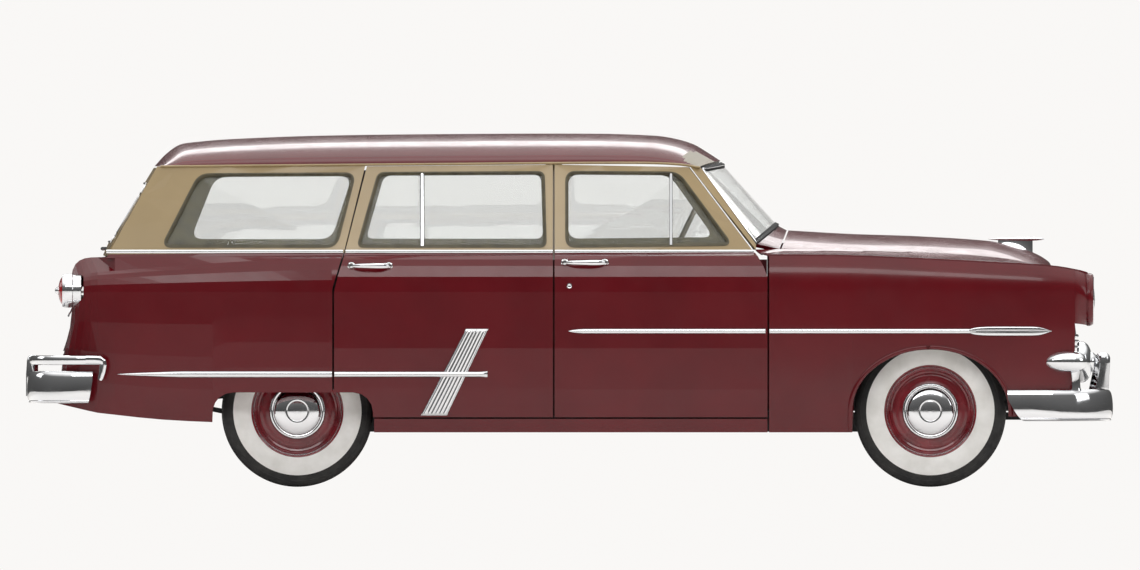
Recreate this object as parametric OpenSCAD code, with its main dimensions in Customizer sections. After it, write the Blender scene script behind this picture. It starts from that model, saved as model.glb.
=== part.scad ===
// Four-door station wagon of the early 1950s, with steel body, separate frame and drop tailgate.
// +X is forward, +Y is the car's left and +Z is up. The origin is on the ground below the middle.

/* [Overall] */
// Width over the body sides
body_w = 1887; // [1800:1:2300]
// Height of the roof above the ground
roof_h = 1630; // [1580:1:1960]
// Distance between the axles
wheelbase = 2921; // [2400:1:3520]
// Height of the belt line at the tail
belt_h = 1062; // [1050:1:1100]

/* [Panels] */
// Thickness of a door below the belt
door_t = 62; // [50:1:76]
// Thickness of a window frame
frame_t = 34; // [26:1:42]
// Thickness of the roof with its lining
roof_t = 34; // [26:1:42]
// Thickness of fender sheet
skin_t = 8; // [6:0.5:10]
// Thickness of the hood
hood_t = 22; // [16:1:28]
// Thickness of tailgate and liftgate
gate_t = 40; // [32:1:48]
// Gap between neighbouring panels
shut_gap = 8; // [7.5:0.5:10]
// Thickness of the window glass
glass_t = 5; // [4:0.5:8]
// Height of the door bottoms
door_low = 322; // [310:1:340]
// Height of the lower edge of the body
sill_low = 252; // [230:1:270]

/* [Hinges] */
// Radius of the hinge pins
pin_r = 4; // [3:0.5:5]
// Radial clearance in a hinge bore
pin_clear = 0.1; // [0.05:0.01:0.2]
// Distance from a panel's edge to its hinge axis
hinge_inset = 44; // [40:1:50]
// Depth of the hinge axis below the skin
hinge_depth = 16; // [15:1:20]

/* [Wheels] */
// Outer radius of the tyres
tyre_r = 350; // [300:1:380]
// Width of the tyres
tyre_w = 180; // [150:1:200]
// Radius of the wheel rim
rim_r = 190; // [170:1:210]
// Distance between the front wheels
front_track = 1473; // [1440:1:1500]
// Distance between the rear wheels
rear_track = 1422; // [1390:1:1450]
// Radius of the wheel spindles
spindle_r = 20; // [16:1:24]
// Running clearance of spindles and kingpins
running = 0.05; // [0.02:0.01:0.1]

/* [Cabin] */
// Height of the front floor
floor_h = 360; // [350:1:375]
// Height of the cargo floor
cargo_h = 650; // [630:1:670]
// Width of the front bench seat
bench_w = 1400; // [1100:1:1500]
// Radius of the steering wheel
steer_r = 215; // [180:1:230]

/* [Hidden] */
$fn = 48;
e = 1;
front_x = 1663;
rear_x = front_x - wheelbase;
hw = body_w / 2;
stretch = (wheelbase - front_x) / (2921 - front_x);

// ---- curves ----
// Rear stations follow the wheelbase; forward ones stay.
function sx(x) = x < 0 ? x * stretch : x;
function st(points) = [for (p = points) [sx(p[0]), p[1]]];
function lerp(a, b, t) = a + (b - a) * t;
function clamp(t, lo = 0, hi = 1) = max(lo, min(hi, t));
function span_at(p, x, i = 0) = i >= len(p) - 2 || x <= p[i + 1][0] ? i : span_at(p, x, i + 1);
function tangent(p, i) = let (a = max(i - 1, 0), b = min(i + 1, len(p) - 1))
    (p[b][1] - p[a][1]) / (p[b][0] - p[a][0]);
// Smooth curve through points [x, value], held flat beyond its ends
function curve(p, x0) = let (x = clamp(x0, p[0][0], p[len(p) - 1][0]), i = span_at(p, x),
    h = p[i + 1][0] - p[i][0], t = (x - p[i][0]) / h)
    (2 * t ^ 3 - 3 * t ^ 2 + 1) * p[i][1] + (t ^ 3 - 2 * t ^ 2 + t) * h * tangent(p, i)
    + (3 * t ^ 2 - 2 * t ^ 3) * p[i + 1][1] + (t ^ 3 - t ^ 2) * h * tangent(p, i + 1);
// Straight lines through points [x, value]
function line(p, x0) = let (x = clamp(x0, p[0][0], p[len(p) - 1][0]), i = span_at(p, x))
    lerp(p[i][1], p[i + 1][1], (x - p[i][0]) / (p[i + 1][0] - p[i][0]));

// ---- body lines ----
// How far the side lies inside the half width
SIDE_IN = st([[-2390, 100], [-2000, 50], [-1400, 20], [-600, 5], [300, 0], [1200, 5], [1700, 13],
    [2100, 35], [2330, 80], [2424, 110]]);
SHOULDER = st([[-2300, 981], [-1701, 1029], [-1154, 1055], [0, 1062], [850, 1068], [1290, 1064],
    [1607, 1051], [1925, 1035], [2222, 1017], [2350, 995], [2403, 971]]);
BELT_IN = st([[-2150, 132], [-1600, 106], [-600, 80], [300, 80], [850, 112]]);
DRIP_IN = st([[-1917, 285], [-1400, 235], [-600, 213], [200, 220], [600, 275], [700, 290]]);
DRIP_DOWN = st([[-1917, 150], [-600, 139], [300, 133], [500, 140], [620, 158], [700, 170]]);
ROOF_DOWN = st([[-1917, 150], [-1868, 97], [-1807, 53], [-1745, 40], [-1568, 25], [-1154, 9],
    [-500, 1], [139, 0], [392, 9], [481, 22], [569, 48], [631, 84], [693, 124]]);
round_z = 900;
round_in = 45;
tuck_in = 24;
function wide(x) = hw - curve(SIDE_IN, x);
function shoulder(x) = curve(SHOULDER, x);
function belt(x) = belt_h + (x + 2160) * 0.0065;
function belt_y(x) = hw - curve(BELT_IN, x);
function drip(x) = roof_h - curve(DRIP_DOWN, x);
function drip_y(x) = hw - curve(DRIP_IN, x);
// Half width of the glasshouse
function glass_y(x, z) = lerp(belt_y(x), drip_y(x), (z - belt(x)) / (drip(x) - belt(x)));
// Half width of the body side below the belt
function side_y(x, z) = z > shoulder(x)
    ? lerp(wide(x) - round_in, belt_y(x), (z - shoulder(x)) / max(belt(x) - shoulder(x), 1))
    : z > round_z ? wide(x) - round_in * ((z - round_z) / (shoulder(x) - round_z)) ^ 2.5
    : wide(x) - tuck_in * ((round_z - z) / 600) ^ 3;

// ---- panels as closed shells between two grids of points ----
function flat2(g) = [for (row = g) for (p = row) p];
function volume6(p, f, i = 0, sum = 0) = i >= len(f) ? sum
    : volume6(p, f, i + 1, sum + p[f[i][0]] * cross(p[f[i][1]], p[f[i][2]]));
module closed_solid(points, faces) {
    out = volume6(points, faces) < 0;
    polyhedron(points, out ? faces : [for (f = faces) [f[0], f[2], f[1]]]);
}
// The grids a and b have the same rows and columns; ring joins the last row to the first.
module shell(a, b, ring = false) {
    rows = len(a);
    cols = len(a[0]);
    base = rows * cols;
    last = ring ? rows - 1 : rows - 2;
    function at(i, j) = (i % rows) * cols + j;
    closed_solid(concat(flat2(a), flat2(b)), concat(
        [for (i = [0:last], j = [0:cols - 2]) each [
            [at(i, j), at(i + 1, j), at(i + 1, j + 1)], [at(i, j), at(i + 1, j + 1), at(i, j + 1)],
            [base + at(i, j), base + at(i + 1, j + 1), base + at(i + 1, j)],
            [base + at(i, j), base + at(i, j + 1), base + at(i + 1, j + 1)]]],
        [for (i = [0:last]) each [
            [at(i + 1, 0), at(i, 0), base + at(i, 0)],
            [at(i + 1, 0), base + at(i, 0), base + at(i + 1, 0)],
            [at(i, cols - 1), at(i + 1, cols - 1), base + at(i + 1, cols - 1)],
            [at(i, cols - 1), base + at(i + 1, cols - 1), base + at(i, cols - 1)]]],
        ring ? [] : [for (j = [0:cols - 2]) each [
            [at(0, j), at(0, j + 1), base + at(0, j + 1)],
            [at(0, j), base + at(0, j + 1), base + at(0, j)],
            [at(rows - 1, j + 1), at(rows - 1, j), base + at(rows - 1, j)],
            [at(rows - 1, j + 1), base + at(rows - 1, j), base + at(rows - 1, j + 1)]]]));
}
function unit(v) = norm(v) > 0 ? v / norm(v) : v;
function normal_at(g, i, j) = unit(cross(
    g[min(i + 1, len(g) - 1)][j] - g[max(i - 1, 0)][j],
    g[i][min(j + 1, len(g[0]) - 1)] - g[i][max(j - 1, 0)]));
function thicken(g, t) = [for (i = [0:len(g) - 1]) [for (j = [0:len(g[0]) - 1])
    g[i][j] + normal_at(g, i, j) * t]];
// Pane between two loops of points, each closed by a fan
module pane(a, b) {
    n = len(a);
    function middle(l) = [for (k = [0:2]) [for (p = l) p[k]] * [for (p = l) 1] / len(l)];
    closed_solid(concat(a, b, [middle(a), middle(b)]), [for (i = [0:n - 1]) let (k = (i + 1) % n)
        each [[i, k, 2 * n], [n + k, n + i, 2 * n + 1], [k, i, n + i], [k, n + i, n + k]]]);
}
// Loop round a quad [x, z] with rounded corners and evenly set points on its sides
function loop(q, r, arc = 3, straight = 2) = [for (k = [0:len(q) - 1])
    let (c = q[k], a = q[(k + len(q) - 1) % len(q)], b = q[(k + 1) % len(q)],
        s = c + unit(a - c) * r, t = c + unit(b - c) * r, n = b + unit(c - b) * r)
    each concat([for (m = [0:arc]) let (w = m / arc)
        (1 - w) ^ 2 * s + 2 * w * (1 - w) * c + w ^ 2 * t],
        [for (m = [1:straight]) lerp(t, n, m / (straight + 1))])];
// Bar through sections that have the same number of corners
module bar(sections) {
    n = len(sections);
    c = len(sections[0]);
    end = (n - 1) * c;
    closed_solid(flat2(sections), concat(
        [for (i = [0:n - 2], k = [0:c - 1]) let (m = (k + 1) % c, a = c * i, b = c * i + c)
            each [[a + k, a + m, b + m], [a + k, b + m, b + k]]],
        [for (k = [1:c - 2]) each [[0, k + 1, k], [end, end + k, end + k + 1]]]));
}
// One mesh from what overlaps
module pressed() resize([0, 0, 0]) children();
module right() mirror([0, 1, 0]) children();
module box(lo, hi) translate(lo) cube(hi - lo);
module rod(a, b, r) {
    d = b - a;
    translate(a) rotate([0, acos(d[2] / norm(d)), atan2(d[1], d[0])]) cylinder(r = r, h = norm(d));
}

// ---- door outlines: [height, x] ----
b_x = -75;
front_door_front = [[sill_low, 911], [985, 911], [1004, 901], [1095, 850]];
rear_door_rear = [[sill_low, sx(-1089)], [917, sx(-1089)], [1065, sx(-1043)], [1110, sx(-1031)],
    [1470, sx(-937)], [1960, sx(-809)]];
front_door_rear_x = b_x + shut_gap / 2;
rear_door_front_x = b_x - shut_gap / 2;
shut_slant = 0.27;
arch_top = 436;
arch_r = 92;
arch_front = rear_x + 349;
arch_rear = rear_x - 391;
glass_low = belt_h + 46;
glass_high = roof_h - 178;
function x_scaled(z, low_x, high_x) = lerp(low_x, high_x, (z - glass_low) / (glass_high - glass_low));
front_window = [[-18, glass_low], [748, glass_low + 9], [500, glass_high], [-18, glass_high + 3]];
rear_window = [[sx(-981), glass_low], [-111, glass_low], [-120, glass_high + 2],
    [sx(-884), glass_high - 2]];
quarter_window = [[sx(-1885), glass_low], [sx(-1078), glass_low], [sx(-990), glass_high - 4],
    [sx(-1712), glass_high - 8]];
front_frame = [[front_door_rear_x, belt_h + 8], [848, belt_h + 22], [548, drip(548) - shut_gap],
    [front_door_rear_x, drip(front_door_rear_x) - shut_gap]];
rear_frame = [[sx(-1043), belt_h + 4], [rear_door_front_x, belt_h + 8],
    [rear_door_front_x, drip(rear_door_front_x) - shut_gap], [sx(-937), drip(sx(-937)) - shut_gap]];

// Hinge axes of the side doors: [x, y]
front_hinge = [911 - hinge_inset, wide(911 - hinge_inset) - hinge_depth];
rear_hinge = [rear_door_front_x - hinge_inset, wide(rear_door_front_x - hinge_inset) - hinge_depth];
hinge_heights = [620, 900];
hinge_half = 15;
post_in = 88;
boss_r = pin_r + 3;

// Ring on the glasshouse between two loops; the inner face leans forward towards its rear edge.
module window_frame(outer, inner, r, lean_x, lean_len) {
    o = loop(outer, 2);
    i = loop(inner, r);
    function skin(p) = [p[0], glass_y(p[0], p[1]), p[1]];
    function lining(p, lean) = [p[0] + lean * shut_slant * frame_t * clamp((lean_x - p[0]) / lean_len),
        glass_y(p[0], p[1]) - frame_t, p[1]];
    shell([for (k = [0:len(o) - 1]) [skin(o[k]), skin(i[k])]],
        [for (k = [0:len(o) - 1]) [lining(o[k], 1), lining(i[k], 0)]], ring = true);
}
module window_pane(q, r, depth = 14) {
    slip = 0.5;
    l = loop(q, r);
    c = [for (k = [0:1]) [for (p = q) p[k]] * [1, 1, 1, 1] / 4];
    function shrink(p) = p + unit(c - p) * slip;
    function face(d) = [for (p = l) let (s = shrink(p)) [s[0], glass_y(s[0], s[1]) - d, s[1]]];
    pane(face(depth), face(depth + glass_t));
}
// Panel of the body side between heights, with its rear and front edges as functions of height
// It thins to a window frame's thickness at the belt.
module side_panel(zs, rear_of, front_of, t, cols = 5) {
    function thin(z) = lerp(t, frame_t, clamp((z - 1000) / 60));
    function x_at(z, u) = lerp(line(rear_of, z), line(front_of, z), u);
    outer = [for (z = zs) [for (k = [0:cols]) let (x = x_at(z, k / cols))
        [x, side_y(x, min(z, belt(x))), min(z, belt(x))]]];
    shell(outer, [for (row = outer) [for (k = [0:cols])
        row[k] + [shut_slant * t * (1 - k / cols), -thin(row[k][2]), 0]]]);
}
module hinge_notches(axis, front_edge) {
    for (z = hinge_heights) {
        box([axis[0] - boss_r - 3, axis[1] - door_t - 20, z - hinge_half - 6],
            [front_edge + 2, axis[1] + boss_r + 1.5, z + hinge_half + 6]);
        translate([axis[0], axis[1], z - 45]) cylinder(r = pin_r + pin_clear, h = 90, $fn = 24);
    }
}
SIDE_ROWS = [640, round_z, 970, 1020, 1050, 1066, 1090];
module front_door() {
    pressed() difference() {
        union() {
            side_panel(concat([door_low, 450], SIDE_ROWS),
                [[0, front_door_rear_x], [2000, front_door_rear_x]], front_door_front, door_t);
            window_frame(front_frame, front_window, 45, 850, 920);
            vent_bar(466, 14);
        }
        hinge_notches(front_hinge, 911);
    }
}
// Upright bar across a window opening
module vent_bar(x, w) {
    bar([for (z = [glass_low - 20, (glass_low + glass_high) / 2, glass_high + 10]) let (y = glass_y(x, z))
        [[x - w / 2, y - 8, z], [x + w / 2, y - 8, z], [x + w / 2, y - 26, z], [x - w / 2, y - 26, z]]]);
}
function arch_corner(z) = arch_front - (z < arch_top - arch_r ? 0
    : arch_r - sqrt(max(arch_r ^ 2 - (z - arch_top + arch_r) ^ 2, 0)));
module rear_door() {
    front = [[0, rear_door_front_x], [2000, rear_door_front_x]];
    low = [for (z = [door_low, 344, 380, 410, 428, arch_top]) [z, arch_corner(z)]];
    pressed() difference() {
        union() {
            side_panel(concat([arch_top], SIDE_ROWS), rear_door_rear, front, door_t);
            side_panel(concat([for (p = low) p[0]], [arch_top + 20]), low, front, door_t);
            window_frame(rear_frame, rear_window, 30, rear_door_front_x, 960);
            vent_bar(sx(-682), 20);
        }
        hinge_notches(rear_hinge, rear_door_front_x);
    }
}
module left_front_door() color("firebrick") front_door();
module right_front_door() color("firebrick") right() front_door();
module left_rear_door() color("firebrick") rear_door();
module right_rear_door() color("firebrick") right() rear_door();
// Door glass is cut by the upright bar: two panes with a slip of half a millimetre
module split_pane(q, r, x, w) {
    z0 = glass_low - 60;
    z1 = glass_high + 60;
    pressed() difference() {
        window_pane(q, r);
        box([x - w / 2 - 0.5, 0, z0], [x + w / 2 + 0.5, hw, z1]);
    }
}
module left_front_glass() color("lightcyan") split_pane(front_window, 45, 466, 14);
module right_front_glass() color("lightcyan") right() split_pane(front_window, 45, 466, 14);
module left_rear_glass() color("lightcyan") split_pane(rear_window, 30, sx(-682), 20);
module right_rear_glass() color("lightcyan") right() split_pane(rear_window, 30, sx(-682), 20);
module quarter_glass() color("lightcyan") {
    window_pane(quarter_window, 50);
    right() window_pane(quarter_window, 50);
}

// ---- rear quarter ----
tail_x = sx(-2385);
gate_y_low = 700 - (943.5 - hw);
// Outer profile of the tailgate and the liftgate at the centre line: [height, x]
gate_line = [[300, sx(-2370)], [609, sx(-2346)], [796, sx(-2284)], [1004, sx(-2182)],
    [belt_h, sx(-2157)], [belt_h + 30, sx(-2152)], [roof_h - 150, sx(-1917)]];
gate_bow = 20;
function gate_half(z) = z < belt_h ? gate_y_low
    : lerp(gate_y_low, drip_y(sx(-1900)) - 54, (z - belt_h) / (roof_h - 150 - belt_h));
function gate_x(z, y) = line(gate_line, z) + gate_bow * (y / gate_y_low) ^ 2;
quarter_in = 100;
wheel_wall_y = rear_track / 2 + tyre_w / 2 + 12;
function quarter_inner(x) = let (t = clamp((sx(-2040) - x) / 90))
    lerp(max(wide(x) - quarter_in, wheel_wall_y), gate_y_low + shut_gap, t);
// Side panel rows run to the tail, where every section closes round the lamp.
function tail_scale(x) = let (s = clamp((sx(-2180) - x) / (sx(-2180) - tail_x)))
    max(1 - s ^ 3.2, 0) ^ (1 / 3.2);
// Outline of the tail seen from the side: [height, x]
TAIL_LINE = [[300, sx(-2372)], [609, sx(-2340)], [780, sx(-2296)], [960, sx(-2302)], [1080, sx(-2296)]];
function tail_fit(x, z) = x > sx(-2180) ? x
    : lerp(sx(-2180), line(TAIL_LINE, z), (x - sx(-2180)) / (tail_x - sx(-2180)));
function quarter_point(x, z) = let (k = tail_scale(x), inner = gate_y_low + shut_gap + 2,
    y = side_y(x, z), zz = 640 + (z - 640) * (z > 640 ? lerp(0.72, 1, k) : 1))
    [tail_fit(x, zz), lerp(inner, y, k), zz];
function quarter_low(x) = line([[tail_x, 385], [sx(-2187), 343], [sx(-1921), 313],
    [sx(-1681), 299], [0, 299]], x);
// Lower edge over the wheel opening
function quarter_edge(x) = x < arch_rear ? quarter_low(x) : x < arch_rear + arch_r
    ? arch_top - arch_r + sqrt(max(arch_r ^ 2 - (arch_rear + arch_r - x) ^ 2, 0)) : arch_top;
module quarter_lower() {
    rear_xs = [for (a = [0:15:90]) lerp(sx(-2180), tail_x, sin(a))];
    xs = concat([for (t = [0:5]) lerp(arch_rear + arch_r, sx(-1089) - shut_gap, 1 - t / 5)],
        [arch_rear + 60, arch_rear + 30, arch_rear + 12, arch_rear + e, arch_rear - e],
        [for (t = [1:4]) lerp(arch_rear, sx(-2100), t / 4)], rear_xs);
    zs = [0, 0.25, 0.5, 0.75, 1];
    function top(x) = min(shoulder(x), belt(x) - 4);
    outer = [for (x = xs) let (low = quarter_edge(x))
        concat([for (t = zs) let (z = lerp(low, round_z, t)) quarter_point(x, z)],
            [for (t = [0.35, 0.65, 0.85, 1]) quarter_point(x, lerp(round_z, top(x), t))],
            [let (p = quarter_point(x, lerp(top(x), belt(x), 0.98)))
                x > sx(-2150) ? p : [p[0], quarter_inner(x) + 1, p[2]]])];
    inner = [for (i = [0:len(xs) - 1]) [for (p = outer[i])
        [p[0] + (i == 0 ? -shut_slant * 60 : 0), min(quarter_inner(p[0]), p[1] - 2), p[2]]]];
    shell(outer, inner);
}
module quarter_upper() {
    low = belt_h - 6;
    high = roof_h - 150.6;
    outer = [[sx(-2140), low], [sx(-1050), low], [sx(-945), high + 2], [sx(-1905), high]];
    window_frame(outer, quarter_window, 50, sx(-1900), 1);
    // Corner post behind the window
    bar([for (z = [low, lerp(low, high, 0.33), lerp(low, high, 0.66), high])
        let (y0 = gate_half(z) + shut_gap, xr = gate_x(z, y0), y1 = glass_y(xr, z))
        [[xr, y0, z], [xr + 6, y1, z], [xr + 90, glass_y(xr + 90, z), z], [xr + 90, y0, z]]]);
}
module quarter() pressed() union() {
    quarter_lower();
    quarter_upper();
}
module left_quarter() color("firebrick") difference() {
    quarter();
    lamp_seat();
}
module right_quarter() color("firebrick") right() difference() {
    quarter();
    lamp_seat();
}
lamp_y = gate_y_low + 80;
lamp_z = 905;
lamp_r = 74;
module lamp_seat() translate([tail_x - 20, lamp_y, lamp_z]) rotate([0, 90, 0])
    cylinder(r = lamp_r + 0.5, h = lamp_deep + 65);
lamp_deep = 95;
module tail_lamp() translate([tail_x + lamp_deep + 44, lamp_y, lamp_z]) rotate([0, -90, 0]) {
    cylinder(r = lamp_r, h = lamp_deep);
    translate([0, 0, lamp_deep]) cylinder(r1 = lamp_r - 4, r2 = 30, h = 14);
    translate([0, 0, lamp_deep + 14]) cylinder(r = 16, h = 16);
}
module tail_lamps() color("red") {
    tail_lamp();
    right() tail_lamp();
}

// ---- roof ----
ROOF_STEPS = [0, 0.019, 0.042, 0.066, 0.13, 0.29, 0.54, 0.79, 0.885, 0.918, 0.953, 0.976, 1];
roof_front = 693;
roof_rear = sx(-1917);
function roof_point(t, a) = let (v = sin(a), s = abs(v), xc = lerp(roof_rear, roof_front, t),
    x = lerp(roof_rear + gate_bow * s ^ 2, roof_front - 93 * s ^ 2, t),
    xs = lerp(roof_rear + gate_bow, roof_front - 93, t), low = drip(xs))
    [x, drip_y(x) * v, low + (roof_h - curve(ROOF_DOWN, xc) - low) * max(1 - s ^ 2.2, 0) ^ 0.62];
roof_skin = [for (t = ROOF_STEPS) [for (a = [-90:15:90]) roof_point(t, a)]];
// The lining of the roof meets its edges level, so that nothing hangs into the door openings.
function roof_lining(t) = let (g = thicken(roof_skin, -t), n = len(g) - 1, m = len(g[0]) - 1)
    [for (i = [0:n]) [for (j = [0:m]) i > 0 && i < n && j > 0 && j < m
        ? [g[i][j][0], g[i][j][1], max(g[i][j][2], roof_skin[i][0][2] + 1)]
        : roof_skin[i][j] + t * [i == 0 ? 1 : i == n ? -1 : 0, j == 0 ? 1 : j == m ? -1 : 0, 0]]];
module roof() color("firebrick") shell(roof_skin, roof_lining(roof_t));
// Space of the roof, which pillars are cut to
module roof_space() shell(thicken(roof_skin, 60), roof_lining(roof_t + 0.5));

// ---- windshield, cowl and hood ----
glass_base_z = belt_h + 144;
function shield_low(v) = let (s = abs(v)) [958 - 106 * s ^ 2.2, (hw - 143) * v, glass_base_z - 89 * s ^ 2.2];
function shield_top(v) = let (s = abs(v)) [702 - 104 * s ^ 2.2, (drip_y(600) - 16) * v, roof_h - 141 - 20 * s ^ 2];
function shield_grid(reach) = [for (t = [0, 0.5, 1]) [for (v = [-1:0.2:1])
    lerp(shield_low(v * reach), shield_top(v * reach), t)]];
module windshield() color("lightcyan") shell(shield_grid(0.975), thicken(shield_grid(0.975), glass_t));
SEAM_IN = [[860, 163], [960, 246], [975, 249], [1270, 253], [1580, 275], [1880, 313], [2090, 351], [2185, 363],
    [2250, 355], [2330, 333]];
SEAM_Z = [[860, 1096], [975, 1098], [1270, 1092], [1580, 1080], [1880, 1062], [2090, 1035],
    [2185, 1000], [2250, 960], [2330, 905]];
function seam_y(x) = hw - curve(SEAM_IN, x);
function seam_z(x) = curve(SEAM_Z, x);
// Centre line of the hood: [step, x], [step, z]
HOOD_X = [[0, 1008], [0.22, 1290], [0.46, 1607], [0.68, 1925], [0.77, 2032], [0.85, 2137],
    [0.91, 2201], [0.94, 2222], [0.97, 2250], [1, 2272]];
HOOD_Z = [[0, 1184], [0.22, 1168], [0.46, 1157], [0.68, 1136], [0.77, 1115], [0.85, 1082],
    [0.91, 1046], [0.94, 1018], [0.97, 940], [1, 850]];
HOOD_SIDE_X = [[0, 975], [0.22, 1270], [0.46, 1580], [0.68, 1880], [0.77, 1985], [0.85, 2090],
    [0.91, 2150], [0.94, 2180], [0.97, 2222], [1, 2245]];
function hood_side(t) = let (x = curve(HOOD_SIDE_X, t)) t < 0.94 ? [x, seam_y(x), seam_z(x)]
    : [x, seam_y(2180) - 24 * (t - 0.94) / 0.06, lerp(seam_z(2180), 850, (t - 0.94) / 0.06)];
function hood_point(t, v) = let (f = abs(v) ^ 2.4, c = [curve(HOOD_X, t), 0, curve(HOOD_Z, t)],
    s = hood_side(t), p = lerp(c, s, f)) [p[0], s[1] * v, p[2]];
hood_skin = [for (t = [0, 0.03, 0.11, 0.22, 0.34, 0.46, 0.57, 0.68, 0.77, 0.85, 0.91, 0.94, 0.97, 1])
    [for (v = [-1, -0.96, -0.88, -0.75, -0.55, -0.3, 0, 0.3, 0.55, 0.75, 0.88, 0.96, 1]) hood_point(t, v)]];
hood_axis = [1038, 1171];
lid_boss = pin_r + 2;
strap_w = 12;
hood_pin_y = 120;
module across(x, z, y0, y1, r) translate([x, y0, z]) rotate([-90, 0, 0]) cylinder(r = r, h = y1 - y0);
// Slot and bore in a lid for one hinge: axis is [x, z]; wing lists the directions the strap leaves by
module lid_hinge_cut(axis, y, wing) {
    w = strap_w / 2 + 6;
    across(axis[0], axis[1], y - 40, y + 40, pin_r + pin_clear, $fn = 24);
    translate([0, y + w, 0]) rotate([90, 0, 0]) linear_extrude(2 * w) union() {
        translate(axis) circle(r = lid_boss + 1.5);
        for (d = [0:len(wing) - 2]) polygon([axis, axis + wing[d], axis + wing[d + 1]]);
    }
}
module hood() color("firebrick") pressed() difference() {
    shell(hood_skin, thicken(hood_skin, -hood_t));
    for (y = [-hood_pin_y, hood_pin_y])
        lid_hinge_cut(hood_axis, y, [[lid_boss + 1.5, 2], [lid_boss + 1.5, -60], [-70, -60], [-70, 12]]);
}
cowl_t = 18;
function cowl_front(v) = hood_point(0, v) - [shut_gap, 0, 0];
cowl_skin = [for (t = [0, 0.5, 1]) [for (v = [-1, -0.96, -0.88, -0.75, -0.55, -0.3, 0, 0.3, 0.55,
    0.75, 0.88, 0.96, 1]) lerp(cowl_front(v), shield_low(v * 0.97) + [1, 0, -0.2], t)]];
module cowl() color("firebrick") shell(cowl_skin, thicken(cowl_skin, cowl_t));
module cowl_space() shell(thicken(cowl_skin, -60), thicken(cowl_skin, cowl_t + 0.5));
firewall_x = 945;
firewall_half = hw - 275;
module firewall() color("firebrick") {
    pressed() difference() {
        union() {
            box([firewall_x - 6, -firewall_half, 361], [firewall_x, firewall_half, 1170]);
            for (s = [-1, 1]) box([910, s * firewall_half - 4, 361], [firewall_x, s * firewall_half + 4, 1090]);
        }
        cowl_space();
        rod(column_at(800), column_at(0), column_r + 4);
        box([900, -tunnel_y, 350], [firewall_x + 1, tunnel_y, tunnel_h]);
    }
    for (y = [-hood_pin_y, hood_pin_y]) {
        translate([0, y + strap_w / 2, 0]) rotate([90, 0, 0]) linear_extrude(strap_w) union() {
            translate(hood_axis) circle(r = lid_boss);
            polygon([hood_axis + [-lid_boss, 0], hood_axis + [lid_boss, 0], hood_axis + [lid_boss, -42],
                [firewall_x + 0.3, 1085], [firewall_x + 0.3, 1115], hood_axis + [-lid_boss, -30]]);
        }
        across(hood_axis[0], hood_axis[1], y - 38, y + 38, pin_r);
    }
}

// ---- front fenders ----
fender_mid = 745;
fender_end = 2330;
nose_x = 2385;
lamp_hw = [hw - 216, 865];
nacelle_r = 120;
front_arch = tyre_r + 10;
front_arch_rise = 284;
fender_low = 252;
fender_low_front = 325;
function fender_edge(x) = abs(x - front_x) < front_arch
    ? tyre_r + front_arch_rise * sqrt(max(1 - ((x - front_x) / front_arch) ^ 2, 0))
    : x < front_x ? fender_low : fender_low_front;
// v runs 0 to 1 up the lower side, to 2 up to the round, to 3 over the shoulder, to 4 in to the hood
function fender_point(x, v) = v <= 1 ? let (z = lerp(fender_edge(x), fender_mid, v)) [x, side_y(x, z), z]
    : v <= 2 ? let (z = lerp(fender_mid, round_z, v - 1)) [x, side_y(x, z), z]
    : v <= 3 ? let (z = lerp(round_z, shoulder(x), sin((v - 2) * 90))) [x, side_y(x, z), z]
    : let (t = v - 3) [x, lerp(wide(x) - round_in, seam_y(x) + shut_gap, t),
        shoulder(x) + (seam_z(x) - shoulder(x)) * t ^ 1.6];
FENDER_ROWS = [0, 0.33, 0.66, 1, 2, 2.3, 2.6, 3, 3.3, 3.65, 4];
function fender_rear(v) = shut_gap + line(front_door_front, v < 3 ? lerp(700, 985, (v - 2))
    : lerp(1010, 1096, v - 3));
fender_xs = concat([950, 1050, 1150, 1240, front_x - front_arch - 0.5],
    [for (a = [0, 12, 26, 42, 60, 80, 100, 120, 138, 154, 168, 180]) front_x - (front_arch - 0.01) * cos(a)],
    [front_x + front_arch + 0.5, 2110, 2200, 2270, fender_end]);
fender_skin = [for (i = [-1:len(fender_xs) - 1]) [for (v = FENDER_ROWS)
    let (x = i < 0 ? fender_rear(v) : max(fender_xs[i], fender_rear(v) + 10 + 3 * i)) fender_point(x, v)]];
NOSE_ROWS = [for (i = [0:len(FENDER_ROWS) - 1]) if (FENDER_ROWS[i] >= 1) i];
fender_lining = thicken(fender_skin, skin_t);
// Point between the end of the fender and the lamp circle; inset is 0 on the skin
function nose_point(t, i, inset) = let (g = inset > 0 ? fender_lining : fender_skin,
    p = g[len(g) - 1][i], a = -90 + 255 * (FENDER_ROWS[i] - 1) / 3, r = nacelle_r - inset,
    f = lerp(t, 1 - sqrt(1 - t ^ 2), 0.4))
    [lerp(fender_end + 0.5, nose_x, t), lerp(p[1], lamp_hw[0] + r * cos(a), f),
        lerp(p[2], lamp_hw[1] + r * sin(a), f)];
function nose_grid(inset) = [for (t = [0, 0.35, 0.65, 0.88, 1]) [for (i = NOSE_ROWS) nose_point(t, i, inset)]];
nose_skin = nose_grid(0);
nose_lining = nose_grid(skin_t);
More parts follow.
